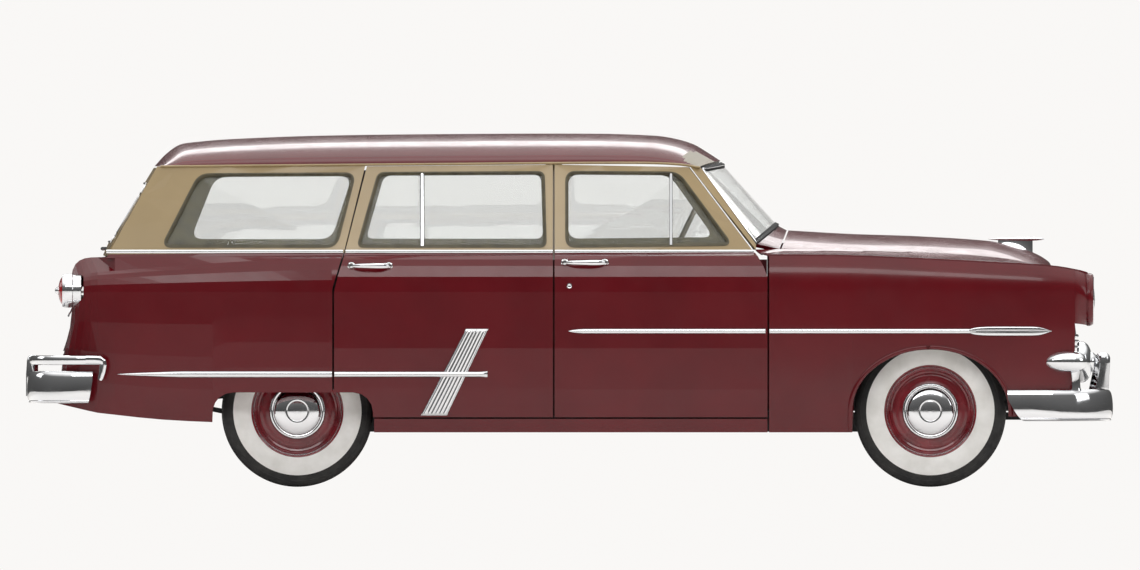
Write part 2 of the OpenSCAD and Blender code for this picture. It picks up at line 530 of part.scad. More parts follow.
// The lamp nacelle is a pressing of its own, set half a millimetre ahead of the fender.
module fender() {
    shell(fender_skin, fender_lining);
    shell(nose_skin, nose_lining);
}
module fender_space(out = 60) shell(thicken(fender_skin, -out), thicken(fender_skin, skin_t + 0.5));
module left_fender() color("firebrick") fender();
module right_fender() color("firebrick") right() fender();
apron_y = 440;
apron_z = 1030;
module apron() pressed() difference() {
    union() {
        box([firewall_x + 0.5, apron_y, 351], [2240, apron_y + skin_t, 830]);
        box([firewall_x + 0.5, apron_y, 351], [1960, apron_y + skin_t, apron_z]);
        box([firewall_x + 0.5, apron_y, apron_z - skin_t], [1960, hw - 40, apron_z]);
        box([firewall_x + 0.5, apron_y, 700], [firewall_x + 0.5 + skin_t, hw - 40, apron_z]);
    }
    fender_space();
    // Wheel arm openings
    box([front_x - 170, apron_y - 10, 200], [front_x + 170, apron_y + 30, 520]);
}
module aprons() color("dimgray") {
    apron();
    right() apron();
}

// ---- front face ----
panel_x = fender_end + 6;
panel_low = 350;
panel_top = 838;
mouth = [[-690, 470], [690, 470], [690, 700], [-690, 700]];
panel_outer = let (half = hw - 92,
    o = loop([[-half, panel_low], [half, panel_low], [half, panel_top], [-half, panel_top]], 60, 3, 6),
    i = loop(mouth, 110, 3, 6)) [for (k = [0:len(o) - 1]) [o[k], i[k]]];
function face_x(y, z) = panel_x - 50 * abs(y / hw) ^ 4 - (z > 745 ? 60 * ((z - 745) / 93) ^ 1.5 : 0);
function face_point(p, d) = [face_x(p[0], p[1]) - d, p[0], p[1]];
module grille_panel() color("firebrick") {
    pressed() difference() {
        shell([for (p = panel_outer) [for (t = [0, 0.5, 1]) face_point(lerp(p[0], p[1], t), 0)]],
            [for (p = panel_outer) [for (t = [0, 0.5, 1]) face_point(lerp(p[0], p[1], t), 14)]],
            ring = true);
        for (m = [0, 1]) mirror([0, m, 0]) {
            fender_space();
            shell(nose_grid(-60), nose_grid(skin_t + 0.5));
        }
    }
}
bar_z = 574;
pod_y = hw - 73;
function bar_point(y, a) = [face_x(y, bar_z) + 26 + 18 * cos(a), y,
    bar_z + (46 - abs(y) / 65) * sin(a)];
module grille() color("silver") {
    pressed() difference() {
        union() {
            grille_bars();
        }
        for (m = [0, 1]) mirror([0, m, 0])
            shell(thicken(fender_skin, -0.5), thicken(fender_skin, 90));
        shell([for (p = panel_outer) [for (t = [0, 0.5, 1]) face_point(lerp(p[0], p[1], t), -0.5)]],
            [for (p = panel_outer) [for (t = [0, 0.5, 1]) face_point(lerp(p[0], p[1], t), 90)]], ring = true);
    }
}
module grille_bars() {
    union() {
        bar([for (k = [-6:6]) [for (a = [0:45:315]) bar_point(130 * k, a)]]);
        for (s = [-1, 1]) translate([2306, s * pod_y, bar_z]) scale([97, 58, 55.5]) sphere(r = 1, $fn = 24);
        for (s = [-1, 1]) hull() {
            translate([2330, s * pod_y, bar_z]) sphere(r = 34, $fn = 12);
            translate([panel_x + 10, s * 740, bar_z]) sphere(r = 30, $fn = 12);
        }
        translate([panel_x + 30, 0, bar_z]) scale([70, 96, 96]) sphere(r = 1, $fn = 28);
        for (s = [-1, 1]) box([panel_x - 14, s * 330 - 12, bar_z - 12], [panel_x + 20, s * 330 + 12, 699.5]);
    }
}
module headlamp() translate([nose_x + 0.3, lamp_hw[0], lamp_hw[1]]) rotate([0, 90, 0]) {
    cylinder(r1 = nacelle_r + 2, r2 = nacelle_r - 8, h = 24);
    translate([0, 0, 24]) cylinder(r1 = nacelle_r - 14, r2 = 60, h = 14);
}
module headlamps() color("silver") {
    headlamp();
    right() headlamp();
}

// ---- bumpers ----
BLADE = [[0, 26], [0.12, 6], [0.35, 0], [0.8, 6], [1, 30]];
function wrap(s, x_end, reach, y_max) = [x_end + reach * max(1 - abs(s) ^ 8, 0) ^ 0.4, y_max * s];
WRAP_S = [-1, -0.99, -0.96, -0.9, -0.75, -0.4, 0, 0.4, 0.75, 0.9, 0.96, 0.99, 1];
module blade(x_end, reach, z0, z1, t, crown) {
    // inward unit vector at each station of the wrapped path
    path = [for (s = WRAP_S) wrap(s, x_end, reach, hw)];
    n = len(path);
    function inward(i) = let (d = unit(path[min(i + 1, n - 1)] - path[max(i - 1, 0)]))
        sign(reach) * [-d[1], d[0]];
    function at(i, b, extra) = let (p = path[i] + inward(i) * (b[1] * crown + extra))
        [p[0], p[1], lerp(z0, z1, b[0])];
    shell([for (i = [0:n - 1]) [for (b = BLADE) at(i, b, 0)]],
        [for (i = [0:n - 1]) [for (b = BLADE) at(i, b, t)]]);
}
module front_bumper() color("silver") {
    pressed() {
        blade(2024, 482, 306, 454, 10, 0.5);
        for (s = [-1, 1]) {
            hull() {
                translate([2462, s * 300, 400]) cylinder(r = 30, h = 10, $fn = 16);
                translate([2455, s * 300, 590]) sphere(r = 34, $fn = 16);
            }
            box([2250.4, s * 405 - 18, 305], [2498, s * 405 + 18, 345]);
        }
    }
}
rear_end_x = sx(-2152);
rear_reach = -354;
module rear_bumper() color("silver") {
    pressed() {
        blade(rear_end_x, rear_reach, 389, 542, 10, 1);
        blade(rear_end_x, rear_reach + 12, 565, 605, 12, 0.3);
        for (s = [-1, 1]) {
            box([rear_end_x + rear_reach + 2, s * 380 - 26, 420], [rear_end_x + rear_reach + 30, s * 380 + 26, 603]);
            box([rear_end_x + rear_reach + 8, s * 495 - 18, 425], [chassis_rear - 0.4, s * 495 + 18, 465]);
        }
    }
}

// ---- tail doors ----
tailgate_low = 628;
gate_split = belt_h;
gate_d = unit([sx(-2152) - roof_rear, belt_h + 30 - (roof_h - 150)]);
gate_n = [gate_d[1], -gate_d[0]];
lift_axis = [roof_rear, roof_h - 150] + gate_d * (shut_gap + 30) - gate_n * 14;
tail_d = unit([line(gate_line, 796) - line(gate_line, 609), 796 - 609]);
tail_n = [-tail_d[1], tail_d[0]];
tail_axis = [line(gate_line, tailgate_low), tailgate_low] + tail_d * 30 - tail_n * 14;
lift_pin_y = 200;
tail_pin_y = 250;
// The top edge slopes down inwards, so that it passes under the liftgate as it swings.
function tailgate_point(z, v, d) = let (y = v * gate_y_low)
    [gate_x(z, y) + d * 0.95, y, z - (z == gate_split ? 0.55 * d : 0)];
module tailgate() color("firebrick") pressed() difference() {
    zs = [tailgate_low, 700, 796, 900, 1004, gate_split];
    shell([for (z = zs) [for (v = [-1:0.4:1]) tailgate_point(z, v, 0)]],
        [for (z = zs) [for (v = [-1:0.4:1]) tailgate_point(z, v, gate_t)]]);
    for (y = [-tail_pin_y, tail_pin_y])
        lid_hinge_cut(tail_axis, y, [tail_n * 7.5, -tail_d * 70 + tail_n * 52, -tail_d * 70 - tail_n * 60,
            -tail_n * 60 + tail_d * 26, tail_d * 9]);
}
lift_low = gate_split + shut_gap;
lift_high = roof_h - 150 - 7;
function lift_point(p, d) = let (y = p[0] * gate_half(p[1]))
    [gate_x(p[1], y), y, p[1]] - d * [gate_n[0], 0, gate_n[1]];
module liftgate() color("tan") pressed() difference() {
    o = loop([[-1, lift_low], [1, lift_low], [1, lift_high], [-1, lift_high]], 0.001, 3, 4);
    i = loop(lift_window, 0.12, 3, 4);
    shell([for (k = [0:len(o) - 1]) [lift_point(o[k], 0), lift_point(i[k], 0)]],
        [for (k = [0:len(o) - 1]) [lift_point(o[k], gate_t), lift_point(i[k], gate_t)]], ring = true);
    for (y = [-lift_pin_y, lift_pin_y])
        lid_hinge_cut(lift_axis, y, [gate_n * 7.5, -gate_d * 70 + gate_n * 85, -gate_d * 70 - gate_n * 60,
            -gate_n * 60 + gate_d * 8]);
}
lift_window = [[-0.86, lift_low + 62], [0.86, lift_low + 62], [0.84, lift_high - 72], [-0.84, lift_high - 72]];
module liftgate_glass() color("lightcyan") {
    l = loop(lift_window, 0.12, 3, 4);
    c = [0, (lift_window[0][1] + lift_window[2][1]) / 2];
    pane([for (p = l) lift_point(c + (p - c) * 0.998, 14)],
        [for (p = l) lift_point(c + (p - c) * 0.998, 14 + glass_t)]);
}

// ---- pillars, rockers and floor ----
sill_top = door_low - shut_gap;
riser_top = floor_h - 8;
riser_y = hw - 143;
module rocker() pressed() union() {
    side_panel([sill_low, 285, sill_top], [[0, sx(-1089) + 185], [2000, sx(-1089) + 185]],
        [[0, 911], [2000, 911]], hw - 60 - riser_y + 100);
    box([sx(-1089) + 190, riser_y - 70, sill_low + 40], [905, riser_y, riser_top]);
}
module rockers() color("firebrick") {
    rocker();
    right() rocker();
}
post_w = 32;
column_r = 22;
column_tilt = 26;
hub = [485, 370, belt_h + 30];
column_dir = [cos(column_tilt), 0, -sin(column_tilt)];
function column_at(d) = hub + column_dir * d;
module hinge(axis) {
    y = axis[1] - post_in;
    for (z = hinge_heights) {
        translate([0, 0, z - hinge_half]) linear_extrude(2 * hinge_half) union() {
            translate(axis) circle(r = boss_r);
            polygon([[axis[0] - boss_r, axis[1]], [axis[0] + boss_r, axis[1]],
                [axis[0] + boss_r, y - 2], [axis[0] - boss_r, y - 2]]);
        }
        translate([axis[0], axis[1], z - 42]) cylinder(r = pin_r, h = 84);
    }
}
post_top = belt_h - 12;
post_slip = 17;
module low_post(x0, x1, axis) box([x0, axis[1] - post_in - post_w, sill_top + 0.3],
    [x1, axis[1] - post_in, post_top]);
module upper_posts() {
    module post(x_of, z0, z1, width, slip, depth) bar([for (z = [z0, lerp(belt_h, roof_h, 0.35), z1])
        let (x = x_of(z) - 38, y = glass_y(x, z) - frame_t - slip)
        [[x, y, z], [x + width, y, z], [x + width, y - depth, z], [x, y - depth, z]]]);
    union() {
        // Windshield post between the door's front edge and the glass
        bar([for (t = [0:0.25:1]) let (w = lerp(shield_low(1), shield_top(1), t),
            x = lerp(858, 556, t), z = lerp(belt_h + 33, roof_h - 153, t), y = glass_y(x, z))
            [[x, y, z], w + [6, 3, 4], w + [-14, -44, -8], [x - lerp(12, 1, t), y - 44, z]]]);
        // Post between the doors
        post(function (z) b_x, post_top + 0.3, drip(b_x) - 0.7, 76, post_slip, 26);
        // Post at the quarter window
        post(function (z) line(rear_door_rear, z) - 6, belt_h + 6, drip(sx(-937)) - 4, 28, 0.4, 28);
    }
}
module hinge_posts() color("firebrick") for (m = [0, 1]) mirror([0, m, 0]) {
    low_post(front_hinge[0] - 30, 909, front_hinge);
    low_post(rear_hinge[0] - 30, b_x + 40, rear_hinge);
    hinge(front_hinge);
    hinge(rear_hinge);
}
module pillars() color("tan") pressed() {
    upper_posts();
    right() upper_posts();
}
heel_x = rear_x + 378;
rear_sill_x = tail_axis[0] + 64;
house_in = rear_track / 2 - tyre_w / 2 - 30;
house_out = quarter_inner(rear_x - tyre_r - 50) - 0.5;
module wheelhouse() difference() {
    box([rear_x - tyre_r - 50, house_in - 8, 430], [rear_x + tyre_r + 40, house_out, tyre_r * 2 + 60]);
    box([rear_x - tyre_r - 42, house_in, 400], [rear_x + tyre_r + 32, house_out + 10, tyre_r * 2 + 52]);
}
lining_y = 560;
lining_t = 3;
module floor_pan() color("dimgray") union() {
    difference() {
        union() {
            box([heel_x, -riser_y, riser_top], [firewall_x - 6.3, riser_y, floor_h]);
            box([gearbox_x - 18, -tunnel_y, riser_top], [firewall_x - 6.3, tunnel_y, tunnel_h]);
        }
        box([gearbox_x - 10, -tunnel_y + 8, 300], [firewall_x, tunnel_y - 8, tunnel_h - 8]);
    }
    box([heel_x - 8, -house_in + 8, riser_top], [heel_x, house_in - 8, cargo_h]);
    box([rear_sill_x, -house_in + 8, cargo_h - 8], [heel_x, house_in - 8, cargo_h]);
    box([rear_sill_x, -gate_y_low + 10, cargo_h - 8], [rear_x - tyre_r - 50, gate_y_low - 10, cargo_h]);
    box([rear_sill_x, -gate_y_low + 10, cargo_h - 90], [rear_sill_x + 8, gate_y_low - 10, cargo_h]);
    // Raised linings of the load floor and of the passenger's foot space
    box([rear_sill_x + 30, -lining_y, cargo_h - 1], [sx(-1860), lining_y, cargo_h + lining_t]);
    box([450, -590, floor_h - 1], [850, -190, floor_h + lining_t]);
    wheelhouse();
    right() wheelhouse();
    // Hinge straps of the tailgate
    for (y = [-tail_pin_y, tail_pin_y]) {
        translate([0, y + strap_w / 2, 0]) rotate([90, 0, 0]) linear_extrude(strap_w) union() {
            translate(tail_axis) circle(r = lid_boss);
            polygon([tail_axis + [0, lid_boss], tail_axis - [0, lid_boss],
                [rear_sill_x + 1, cargo_h - 40], [rear_sill_x + 1, cargo_h - 10]]);
        }
        across(tail_axis[0], tail_axis[1], y - 38, y + 38, pin_r);
    }
}
// Inner header over the liftgate, which carries its hinges
module lift_header() {
    pressed() difference() {
        box([roof_rear + 62, -drip_y(roof_rear) + 60, roof_h - 175],
            [roof_rear + 96, drip_y(roof_rear) - 60, roof_h - 70]);
        roof_space();
    }
    for (y = [-lift_pin_y, lift_pin_y]) {
        translate([0, y + strap_w / 2, 0]) rotate([90, 0, 0]) linear_extrude(strap_w) union() {
            translate(lift_axis) circle(r = lid_boss);
            polygon([lift_axis - gate_d * lid_boss, lift_axis + gate_d * lid_boss,
                [roof_rear + 61.7, roof_h - 172], [roof_rear + 61.7, roof_h - 150]]);
        }
        across(lift_axis[0], lift_axis[1], y - 38, y + 38, pin_r);
    }
}
module rear_header() color("tan") lift_header();

// ---- frame and running gear ----
rail_y = 405;
member_low = 257;
member_high = 290;
// The rails rise behind the front tyres to horns for the bumper
horn_x = front_x + 325;
horn_low = 310;
chassis_rear = sx(-2290);
module chassis_frame() color("black") difference() {
    union() {
        for (s = [-1, 1]) {
            box([780, s * rail_y - 25, 255], [horn_x, s * rail_y + 25, 345]);
            box([horn_x - 5, s * rail_y - 25, horn_low], [2250, s * rail_y + 25, 345]);
            translate([0, s * 495 + 25, 0]) rotate([90, 0, 0]) linear_extrude(50) polygon([
                [900, 255], [900, 345], [heel_x, 345], [rear_x + 128, 510], [rear_x - 122, 510],
                [sx(-1700), 480], [chassis_rear, 470], [chassis_rear, 400], [sx(-1680), 400],
                [rear_x - 142, 430], [rear_x + 98, 430], [heel_x - 40, 255]]);
        }
        for (x = [-350, 820]) box([x - 40, -480, member_low], [x + 40, 480, member_high]);
        box([2140, -385, horn_low], [2220, 385, 338]);
        box([front_x - 70, -385, 200], [front_x + 70, 385, 300]);
        box([chassis_rear, -480, 410], [chassis_rear + 60, 480, 465]);
        // Body mounts
        for (x = [-300, 300]) for (s = [-1, 1]) box([x - 30, s * 602 - 88, member_high],
            [x + 30, s * 602 + 88, riser_top - 0.3]);
    }
}
kingpin_y = front_track / 2 - 100;
module tyre() rotate([90, 0, 0]) rotate_extrude($fn = 96) polygon(concat(
    [[rim_r - 4, 3 - wheel_bead]],
    [for (a = [-78:12:78]) [rim_r + (tyre_r - rim_r) * 0.42 + (tyre_r - rim_r) * 0.58 * max(cos(a), 0) ^ 0.55,
        tyre_w / 2 * sin(a) / sin(78) * (abs(a) > 60 ? 0.985 : 1)]],
    [[rim_r - 4, wheel_bead - 3]]));
wheel_bead = tyre_w * 0.36;
// Wheel with its outer face towards +Y: rim, dished disc and cap on a bored hub
module wheel() rotate([-90, 0, 0]) rotate_extrude($fn = 96) polygon([
    [spindle_r + running, -30], [70, -30], [70, 22], [120, 40], [rim_r - 22, 28], [rim_r - 22, -wheel_bead + 4],
    [rim_r - 4.5, -wheel_bead - 4], [rim_r + 10, -wheel_bead - 12], [rim_r + 10, -wheel_bead - 4],
    [rim_r - 4.5, -wheel_bead + 2], [rim_r - 12, 0], [rim_r - 4.5, wheel_bead - 2], [rim_r + 10, wheel_bead + 4],
    [rim_r + 10, wheel_bead + 12], [rim_r - 8, wheel_bead + 6], [rim_r - 18, 38], [129, 50], [128, 62],
    [90, 78], [40, 86], [0, 88], [0, 40], [spindle_r + running, 40]]);
module at_wheel(x, track, side) translate([x, 0, tyre_r]) mirror([0, side < 0 ? 1 : 0, 0])
    translate([0, track / 2, 0]) children();
module left_front_tyre() color("black") at_wheel(front_x, front_track, 1) tyre();
module right_front_tyre() color("black") at_wheel(front_x, front_track, -1) tyre();
module left_rear_tyre() color("black") at_wheel(rear_x, rear_track, 1) tyre();
module right_rear_tyre() color("black") at_wheel(rear_x, rear_track, -1) tyre();
module left_front_wheel() color("firebrick") at_wheel(front_x, front_track, 1) wheel();
module right_front_wheel() color("firebrick") at_wheel(front_x, front_track, -1) wheel();
module left_rear_wheel() color("firebrick") at_wheel(rear_x, rear_track, 1) wheel();
module right_rear_wheel() color("firebrick") at_wheel(rear_x, rear_track, -1) wheel();
// Knuckle: kingpin post, stub spindle and brake plate
king_r = 18;
king_half = 95;
module knuckle() translate([front_x, kingpin_y, tyre_r]) {
    cylinder(r = king_r, h = 2 * king_half, center = true);
    cylinder(r = king_r + 12, h = 2 * king_half - 70, center = true);
    rotate([-90, 0, 0]) cylinder(r = spindle_r + 8, h = 64);
    rotate([-90, 0, 0]) cylinder(r = spindle_r, h = 138);
    translate([0, 40, 0]) rotate([-90, 0, 0]) cylinder(r = 140, h = 10);
    box([-150, -12, -46], [0, 6, -30]);
}
module left_knuckle() color("dimgray") knuckle();
module right_knuckle() color("dimgray") right() knuckle();
module arm(z, y0, reach_x) difference() {
    union() {
        translate([front_x, kingpin_y, z - 12]) cylinder(r = king_r + 14, h = 24);
        translate([0, 0, z - 12]) linear_extrude(24) polygon([[front_x - 26, kingpin_y - 16],
            [front_x + 26, kingpin_y - 16], [front_x + reach_x, y0], [front_x - reach_x, y0]]);
    }
    translate([front_x, kingpin_y, z - 20]) cylinder(r = king_r + running, h = 40);
}
arm_low = tyre_r - king_half + 14;
arm_high = tyre_r + king_half - 14;
module front_suspension() color("dimgray") for (m = [0, 1]) mirror([0, m, 0]) {
    arm(arm_low, rail_y + 25.3, 120);
    arm(arm_high, rail_y - 10, 90);
    // Coil spring tower on the rail
    box([front_x - 95, rail_y - 25, 345.3], [front_x + 95, rail_y + 22, arm_high - 12.3]);
}
module rear_axle() color("dimgray") {
    y_end = rear_track / 2 + 38;
    translate([rear_x, 0, tyre_r]) {
        rotate([90, 0, 0]) cylinder(r = 44, h = 2 * (rear_track / 2 - 45), center = true);
        rotate([90, 0, 0]) cylinder(r = spindle_r, h = 2 * y_end, center = true);
        sphere(r = 118);
        for (s = [-1, 1]) translate([0, s * (rear_track / 2 - 41), 0]) rotate([90, 0, 0])
            cylinder(r = 140, h = 10, center = true);
    }
    // Driveshaft to the gearbox
    rod([rear_x, 0, tyre_r - 22], [gearbox_x - 0.5, 0, 316], 25);
    // Leaf springs under the rails
    for (s = [-1, 1]) translate([0, s * 495 + 30, 0]) rotate([90, 0, 0]) linear_extrude(60) polygon([
        [rear_x - 540, 399.6], [rear_x - 540, 378], [rear_x - 60, 280], [rear_x + 60, 280],
        [rear_x + 330, 234], [rear_x + 330, 254.5], [rear_x + 60, 306], [rear_x - 60, 306]]);
}
gearbox_x = 620;
tunnel_y = 140;
tunnel_h = 545;
module engine() color("gray") {
    box([1250, -280, 420], [1950, 280, 1000]);
    box([gearbox_x, -120, 300], [1249.5, 120, 530]);
}
module radiator() color("black") box([2150, -330, 338.3], [2205, 330, 940]);
module fuel_tank() color("black") box([sx(-2100), -420, 515], [sx(-1690), 420, cargo_h - 8.5]);
pipe_r = 19;
muffler_r = 40;
pipe_z = member_high + 0.3 + pipe_r;
module exhaust() color("gray") {
    rod([1200, 250, pipe_z], [rear_x + 420, 250, pipe_z], pipe_r);
    rod([rear_x + 850, 250, pipe_z], [rear_x + 480, 250, pipe_z], muffler_r);
}

// ---- cabin ----
dash_half = hw - 178;
post_inner = front_hinge[1] - post_in - post_w;
module dashboard() color("darkgreen") difference() {
    union() {
        translate([0, dash_half, 0]) rotate([90, 0, 0]) linear_extrude(2 * dash_half) polygon([
            [690, 900], [672, 1010], [690, 1070], [760, 1092], [846, 1096], [846, 900]]);
        // End brackets on the hinge posts
        box([842, -post_inner + 0.3, 905], [846, post_inner - 0.3, 1000]);
    }
    rod(column_at(800), column_at(0), column_r + 0.3);
}
module steering_column() color("darkgreen") difference() {
    rod(column_at(30), column_at(760), column_r);
    rod(column_at(0), column_at(161), 12 + running);
}
module steering_wheel() color("ivory") translate(hub) rotate([0, 90 + column_tilt, 0]) {
    rotate_extrude($fn = 72) translate([steer_r - 12, 0]) circle(r = 12, $fn = 24);
    difference() {
        union() {
            translate([0, 0, 5]) cylinder(r = 36, h = 22);
            for (a = [90, 270]) rotate([0, 0, a]) translate([0, 0, 12]) rotate([0, 88, 0])
                cylinder(r = 9, h = steer_r - 12);
        }
    }
    translate([0, 0, 20]) cylinder(r = 12, h = 140);
}
module bench(x0, x1, base, seat, back_x, back_top, width) {
    box([x0 + 60, -width / 2 + 80, base + 0.3], [x1 - 60, width / 2 - 80, seat - 150]);
    box([x0 + 30, -width / 2, seat - 150], [x1, width / 2, seat]);
    translate([0, width / 2, 0]) rotate([90, 0, 0]) linear_extrude(width) polygon([
        [x0 + 150, seat - 60], [x0 + 30, seat - 60], [back_x, back_top], [back_x + 110, back_top]]);
}
module front_bench() color("darkgreen") bench(-190, 420, floor_h, 640, -255, 1050, bench_w);
module middle_bench() color("darkgreen") bench(heel_x + 30, heel_x + 458, floor_h, 650, heel_x - 60, 1040,
    bench_w - 10);
module rear_bench() color("darkgreen") bench(sx(-1780), sx(-1340), cargo_h, 860, sx(-1840), 1040,
    2 * house_in - 40);

chassis_frame();
floor_pan();
rockers();
hinge_posts();
pillars();
rear_header();
cowl();
firewall();
dashboard();
roof();
left_quarter();
right_quarter();
left_fender();
right_fender();
aprons();
hood();
grille_panel();
grille();
headlamps();
tail_lamps();
front_bumper();
rear_bumper();
windshield();
quarter_glass();
left_front_door();
right_front_door();
left_rear_door();
right_rear_door();
left_front_glass();
right_front_glass();
left_rear_glass();
right_rear_glass();
tailgate();
liftgate();
liftgate_glass();
front_bench();
middle_bench();
rear_bench();
steering_wheel();
steering_column();
left_front_tyre();
right_front_tyre();
left_rear_tyre();
right_rear_tyre();
left_front_wheel();
right_front_wheel();
left_rear_wheel();
right_rear_wheel();
left_knuckle();
right_knuckle();
front_suspension();
rear_axle();
engine();
radiator();
fuel_tank();
exhaust();
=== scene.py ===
"""Looks of the early-1950s station wagon: materials, trim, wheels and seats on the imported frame."""
from math import cos, exp, pi, radians, sin, sqrt

import bmesh
import bpy
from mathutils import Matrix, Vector


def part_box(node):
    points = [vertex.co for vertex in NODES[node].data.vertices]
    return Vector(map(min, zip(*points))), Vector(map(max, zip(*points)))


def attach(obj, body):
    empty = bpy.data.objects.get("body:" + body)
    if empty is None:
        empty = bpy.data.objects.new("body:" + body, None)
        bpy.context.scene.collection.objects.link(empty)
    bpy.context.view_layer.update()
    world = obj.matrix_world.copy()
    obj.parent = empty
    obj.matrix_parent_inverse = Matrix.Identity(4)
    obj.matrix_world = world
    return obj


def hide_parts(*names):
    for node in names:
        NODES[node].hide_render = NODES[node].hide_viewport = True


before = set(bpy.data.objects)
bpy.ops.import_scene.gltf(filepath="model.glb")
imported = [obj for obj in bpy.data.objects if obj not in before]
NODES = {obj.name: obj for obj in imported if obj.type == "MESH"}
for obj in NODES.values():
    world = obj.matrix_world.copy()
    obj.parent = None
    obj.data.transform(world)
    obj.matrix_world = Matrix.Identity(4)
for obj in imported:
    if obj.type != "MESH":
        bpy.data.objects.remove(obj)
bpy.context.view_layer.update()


# ---- materials ----
def material(name, color, rough=0.4, metal=0.0, **sockets):
    """A Principled material, with its tree and shader for more nodes."""
    mat = bpy.data.materials.new(name)
    mat.use_nodes = True
    tree = mat.node_tree
    shader = tree.nodes["Principled BSDF"]
    shader.inputs["Base Color"].default_value = (*color, 1)
    shader.inputs["Roughness"].default_value = rough
    shader.inputs["Metallic"].default_value = metal
    for key, value in sockets.items():
        shader.inputs[key.replace("_", " ")].default_value = value
    return mat, tree, shader


def position(tree):
    return tree.nodes.new("ShaderNodeTexCoord").outputs["Object"]


def noise(tree, scale, detail=3.0):
    node = tree.nodes.new("ShaderNodeTexNoise")
    node.inputs["Scale"].default_value = scale
    node.inputs["Detail"].default_value = detail
    tree.links.new(position(tree), node.inputs["Vector"])
    return node.outputs["Fac"]


RAMP_STOPS = (0.35, 0.65)


def ramp(tree, source, low, high):
    """Colour or value between low and high as source goes from one of RAMP_STOPS to the other."""
    node = tree.nodes.new("ShaderNodeValToRGB")
    for stop, place, value in zip(node.color_ramp.elements, RAMP_STOPS, (low, high)):
        stop.position = place
        stop.color = (*value, 1) if hasattr(value, "__len__") else (value, value, value, 1)
    tree.links.new(source, node.inputs["Fac"])
    return node.outputs["Color"]


def bump(tree, shader, source, strength, distance):
    node = tree.nodes.new("ShaderNodeBump")
    node.inputs["Strength"].default_value = strength
    node.inputs["Distance"].default_value = distance
    tree.links.new(source, node.inputs["Height"])
    tree.links.new(node.outputs["Normal"], shader.inputs["Normal"])


def mixed(tree, factor, a, b):
    """Mix of two colours or colour outputs."""
    node = tree.nodes.new("ShaderNodeMix")
    node.data_type = "RGBA"
    for socket, value in ((node.inputs[0], factor), (node.inputs[6], a), (node.inputs[7], b)):
        if isinstance(value, tuple):
            socket.default_value = (*value, 1)
        else:
            tree.links.new(value, socket)
    return node.outputs[2]


def math_node(tree, operation, a, b):
    node = tree.nodes.new("ShaderNodeMath")
    node.operation = operation
    for socket, value in zip(node.inputs, (a, b)):
        if isinstance(value, (int, float)):
            socket.default_value = value
        else:
            tree.links.new(value, socket)
    return node.outputs[0]


def split_xyz(tree):
    node = tree.nodes.new("ShaderNodeSeparateXYZ")
    tree.links.new(position(tree), node.inputs[0])
    return node.outputs


RED = (0.112, 0.003, 0.007)
RED_DEEP = (0.095, 0.0025, 0.006)
TAN = (0.36, 0.265, 0.135)
TAN_DEEP = (0.32, 0.235, 0.118)
BELT_BASE = 1.062
BELT_SLOPE = 0.0065
BELT_REAR = -2.16


def enamel(tree, shader, color):
    """Orange peel and faint waviness of sprayed enamel."""
    tree.links.new(color, shader.inputs["Base Color"])
    tree.links.new(ramp(tree, noise(tree, 9), 0.2, 0.27), shader.inputs["Roughness"])
    bump(tree, shader, noise(tree, 420, 2), 0.04, 0.0004)


def one_paint(name, color, deep, **coat):
    mat, tree, shader = material(name, color, Specular_IOR_Level=0.3, **coat)
    enamel(tree, shader, ramp(tree, noise(tree, 3), deep, color))
    return mat


def two_tone_paint():
    """Red below the belt line and tan above it."""
    mat, tree, shader = material("two_tone_enamel", RED, Coat_Weight=0.3, Coat_Roughness=0.05, Specular_IOR_Level=0.3)
    x, _, z = split_xyz(tree)
    belt = math_node(tree, "MULTIPLY_ADD", x, BELT_SLOPE)
    belt.node.inputs[2].default_value = BELT_BASE - BELT_REAR * BELT_SLOPE + 0.012
    above = math_node(tree, "GREATER_THAN", z, belt)
    red = ramp(tree, noise(tree, 3), RED_DEEP, RED)
    tan = ramp(tree, noise(tree, 3), TAN_DEEP, TAN)
    enamel(tree, shader, mixed(tree, above, red, tan))
    return mat


def chrome():
    mat, tree, shader = material("chrome", (0.78, 0.79, 0.81), 0.07, 1.0)
    tree.links.new(ramp(tree, noise(tree, 12), 0.05, 0.12), shader.inputs["Roughness"])
    bump(tree, shader, noise(tree, 160, 2), 0.03, 0.0004)
    return mat


def clear_glass():
    mat, tree, shader = material("window_glass", (0.86, 0.93, 0.9), 0.02, Transmission_Weight=0.92, IOR=1.45)
    shader.inputs["Alpha"].default_value = 0.22
    mat.use_transparency_overlap = False
    tree.links.new(ramp(tree, noise(tree, 4), 0.01, 0.05), shader.inputs["Roughness"])
    return mat


def rubber():
    mat, tree, shader = material("black_rubber", (0.014, 0.014, 0.015), 0.6)
    tree.links.new(ramp(tree, noise(tree, 14), (0.01, 0.01, 0.011), (0.024, 0.023, 0.022)),
                   shader.inputs["Base Color"])
    tree.links.new(ramp(tree, noise(tree, 30), 0.5, 0.75), shader.inputs["Roughness"])
    bump(tree, shader, noise(tree, 500, 4), 0.25, 0.0006)
    return mat


def white_rubber():
    mat, tree, shader = material("white_rubber", (0.86, 0.85, 0.82), 0.5)
    tree.links.new(ramp(tree, noise(tree, 10), (0.74, 0.73, 0.7), (0.88, 0.87, 0.85)),
                   shader.inputs["Base Color"])
    bump(tree, shader, noise(tree, 300, 3), 0.08, 0.0004)
    return mat


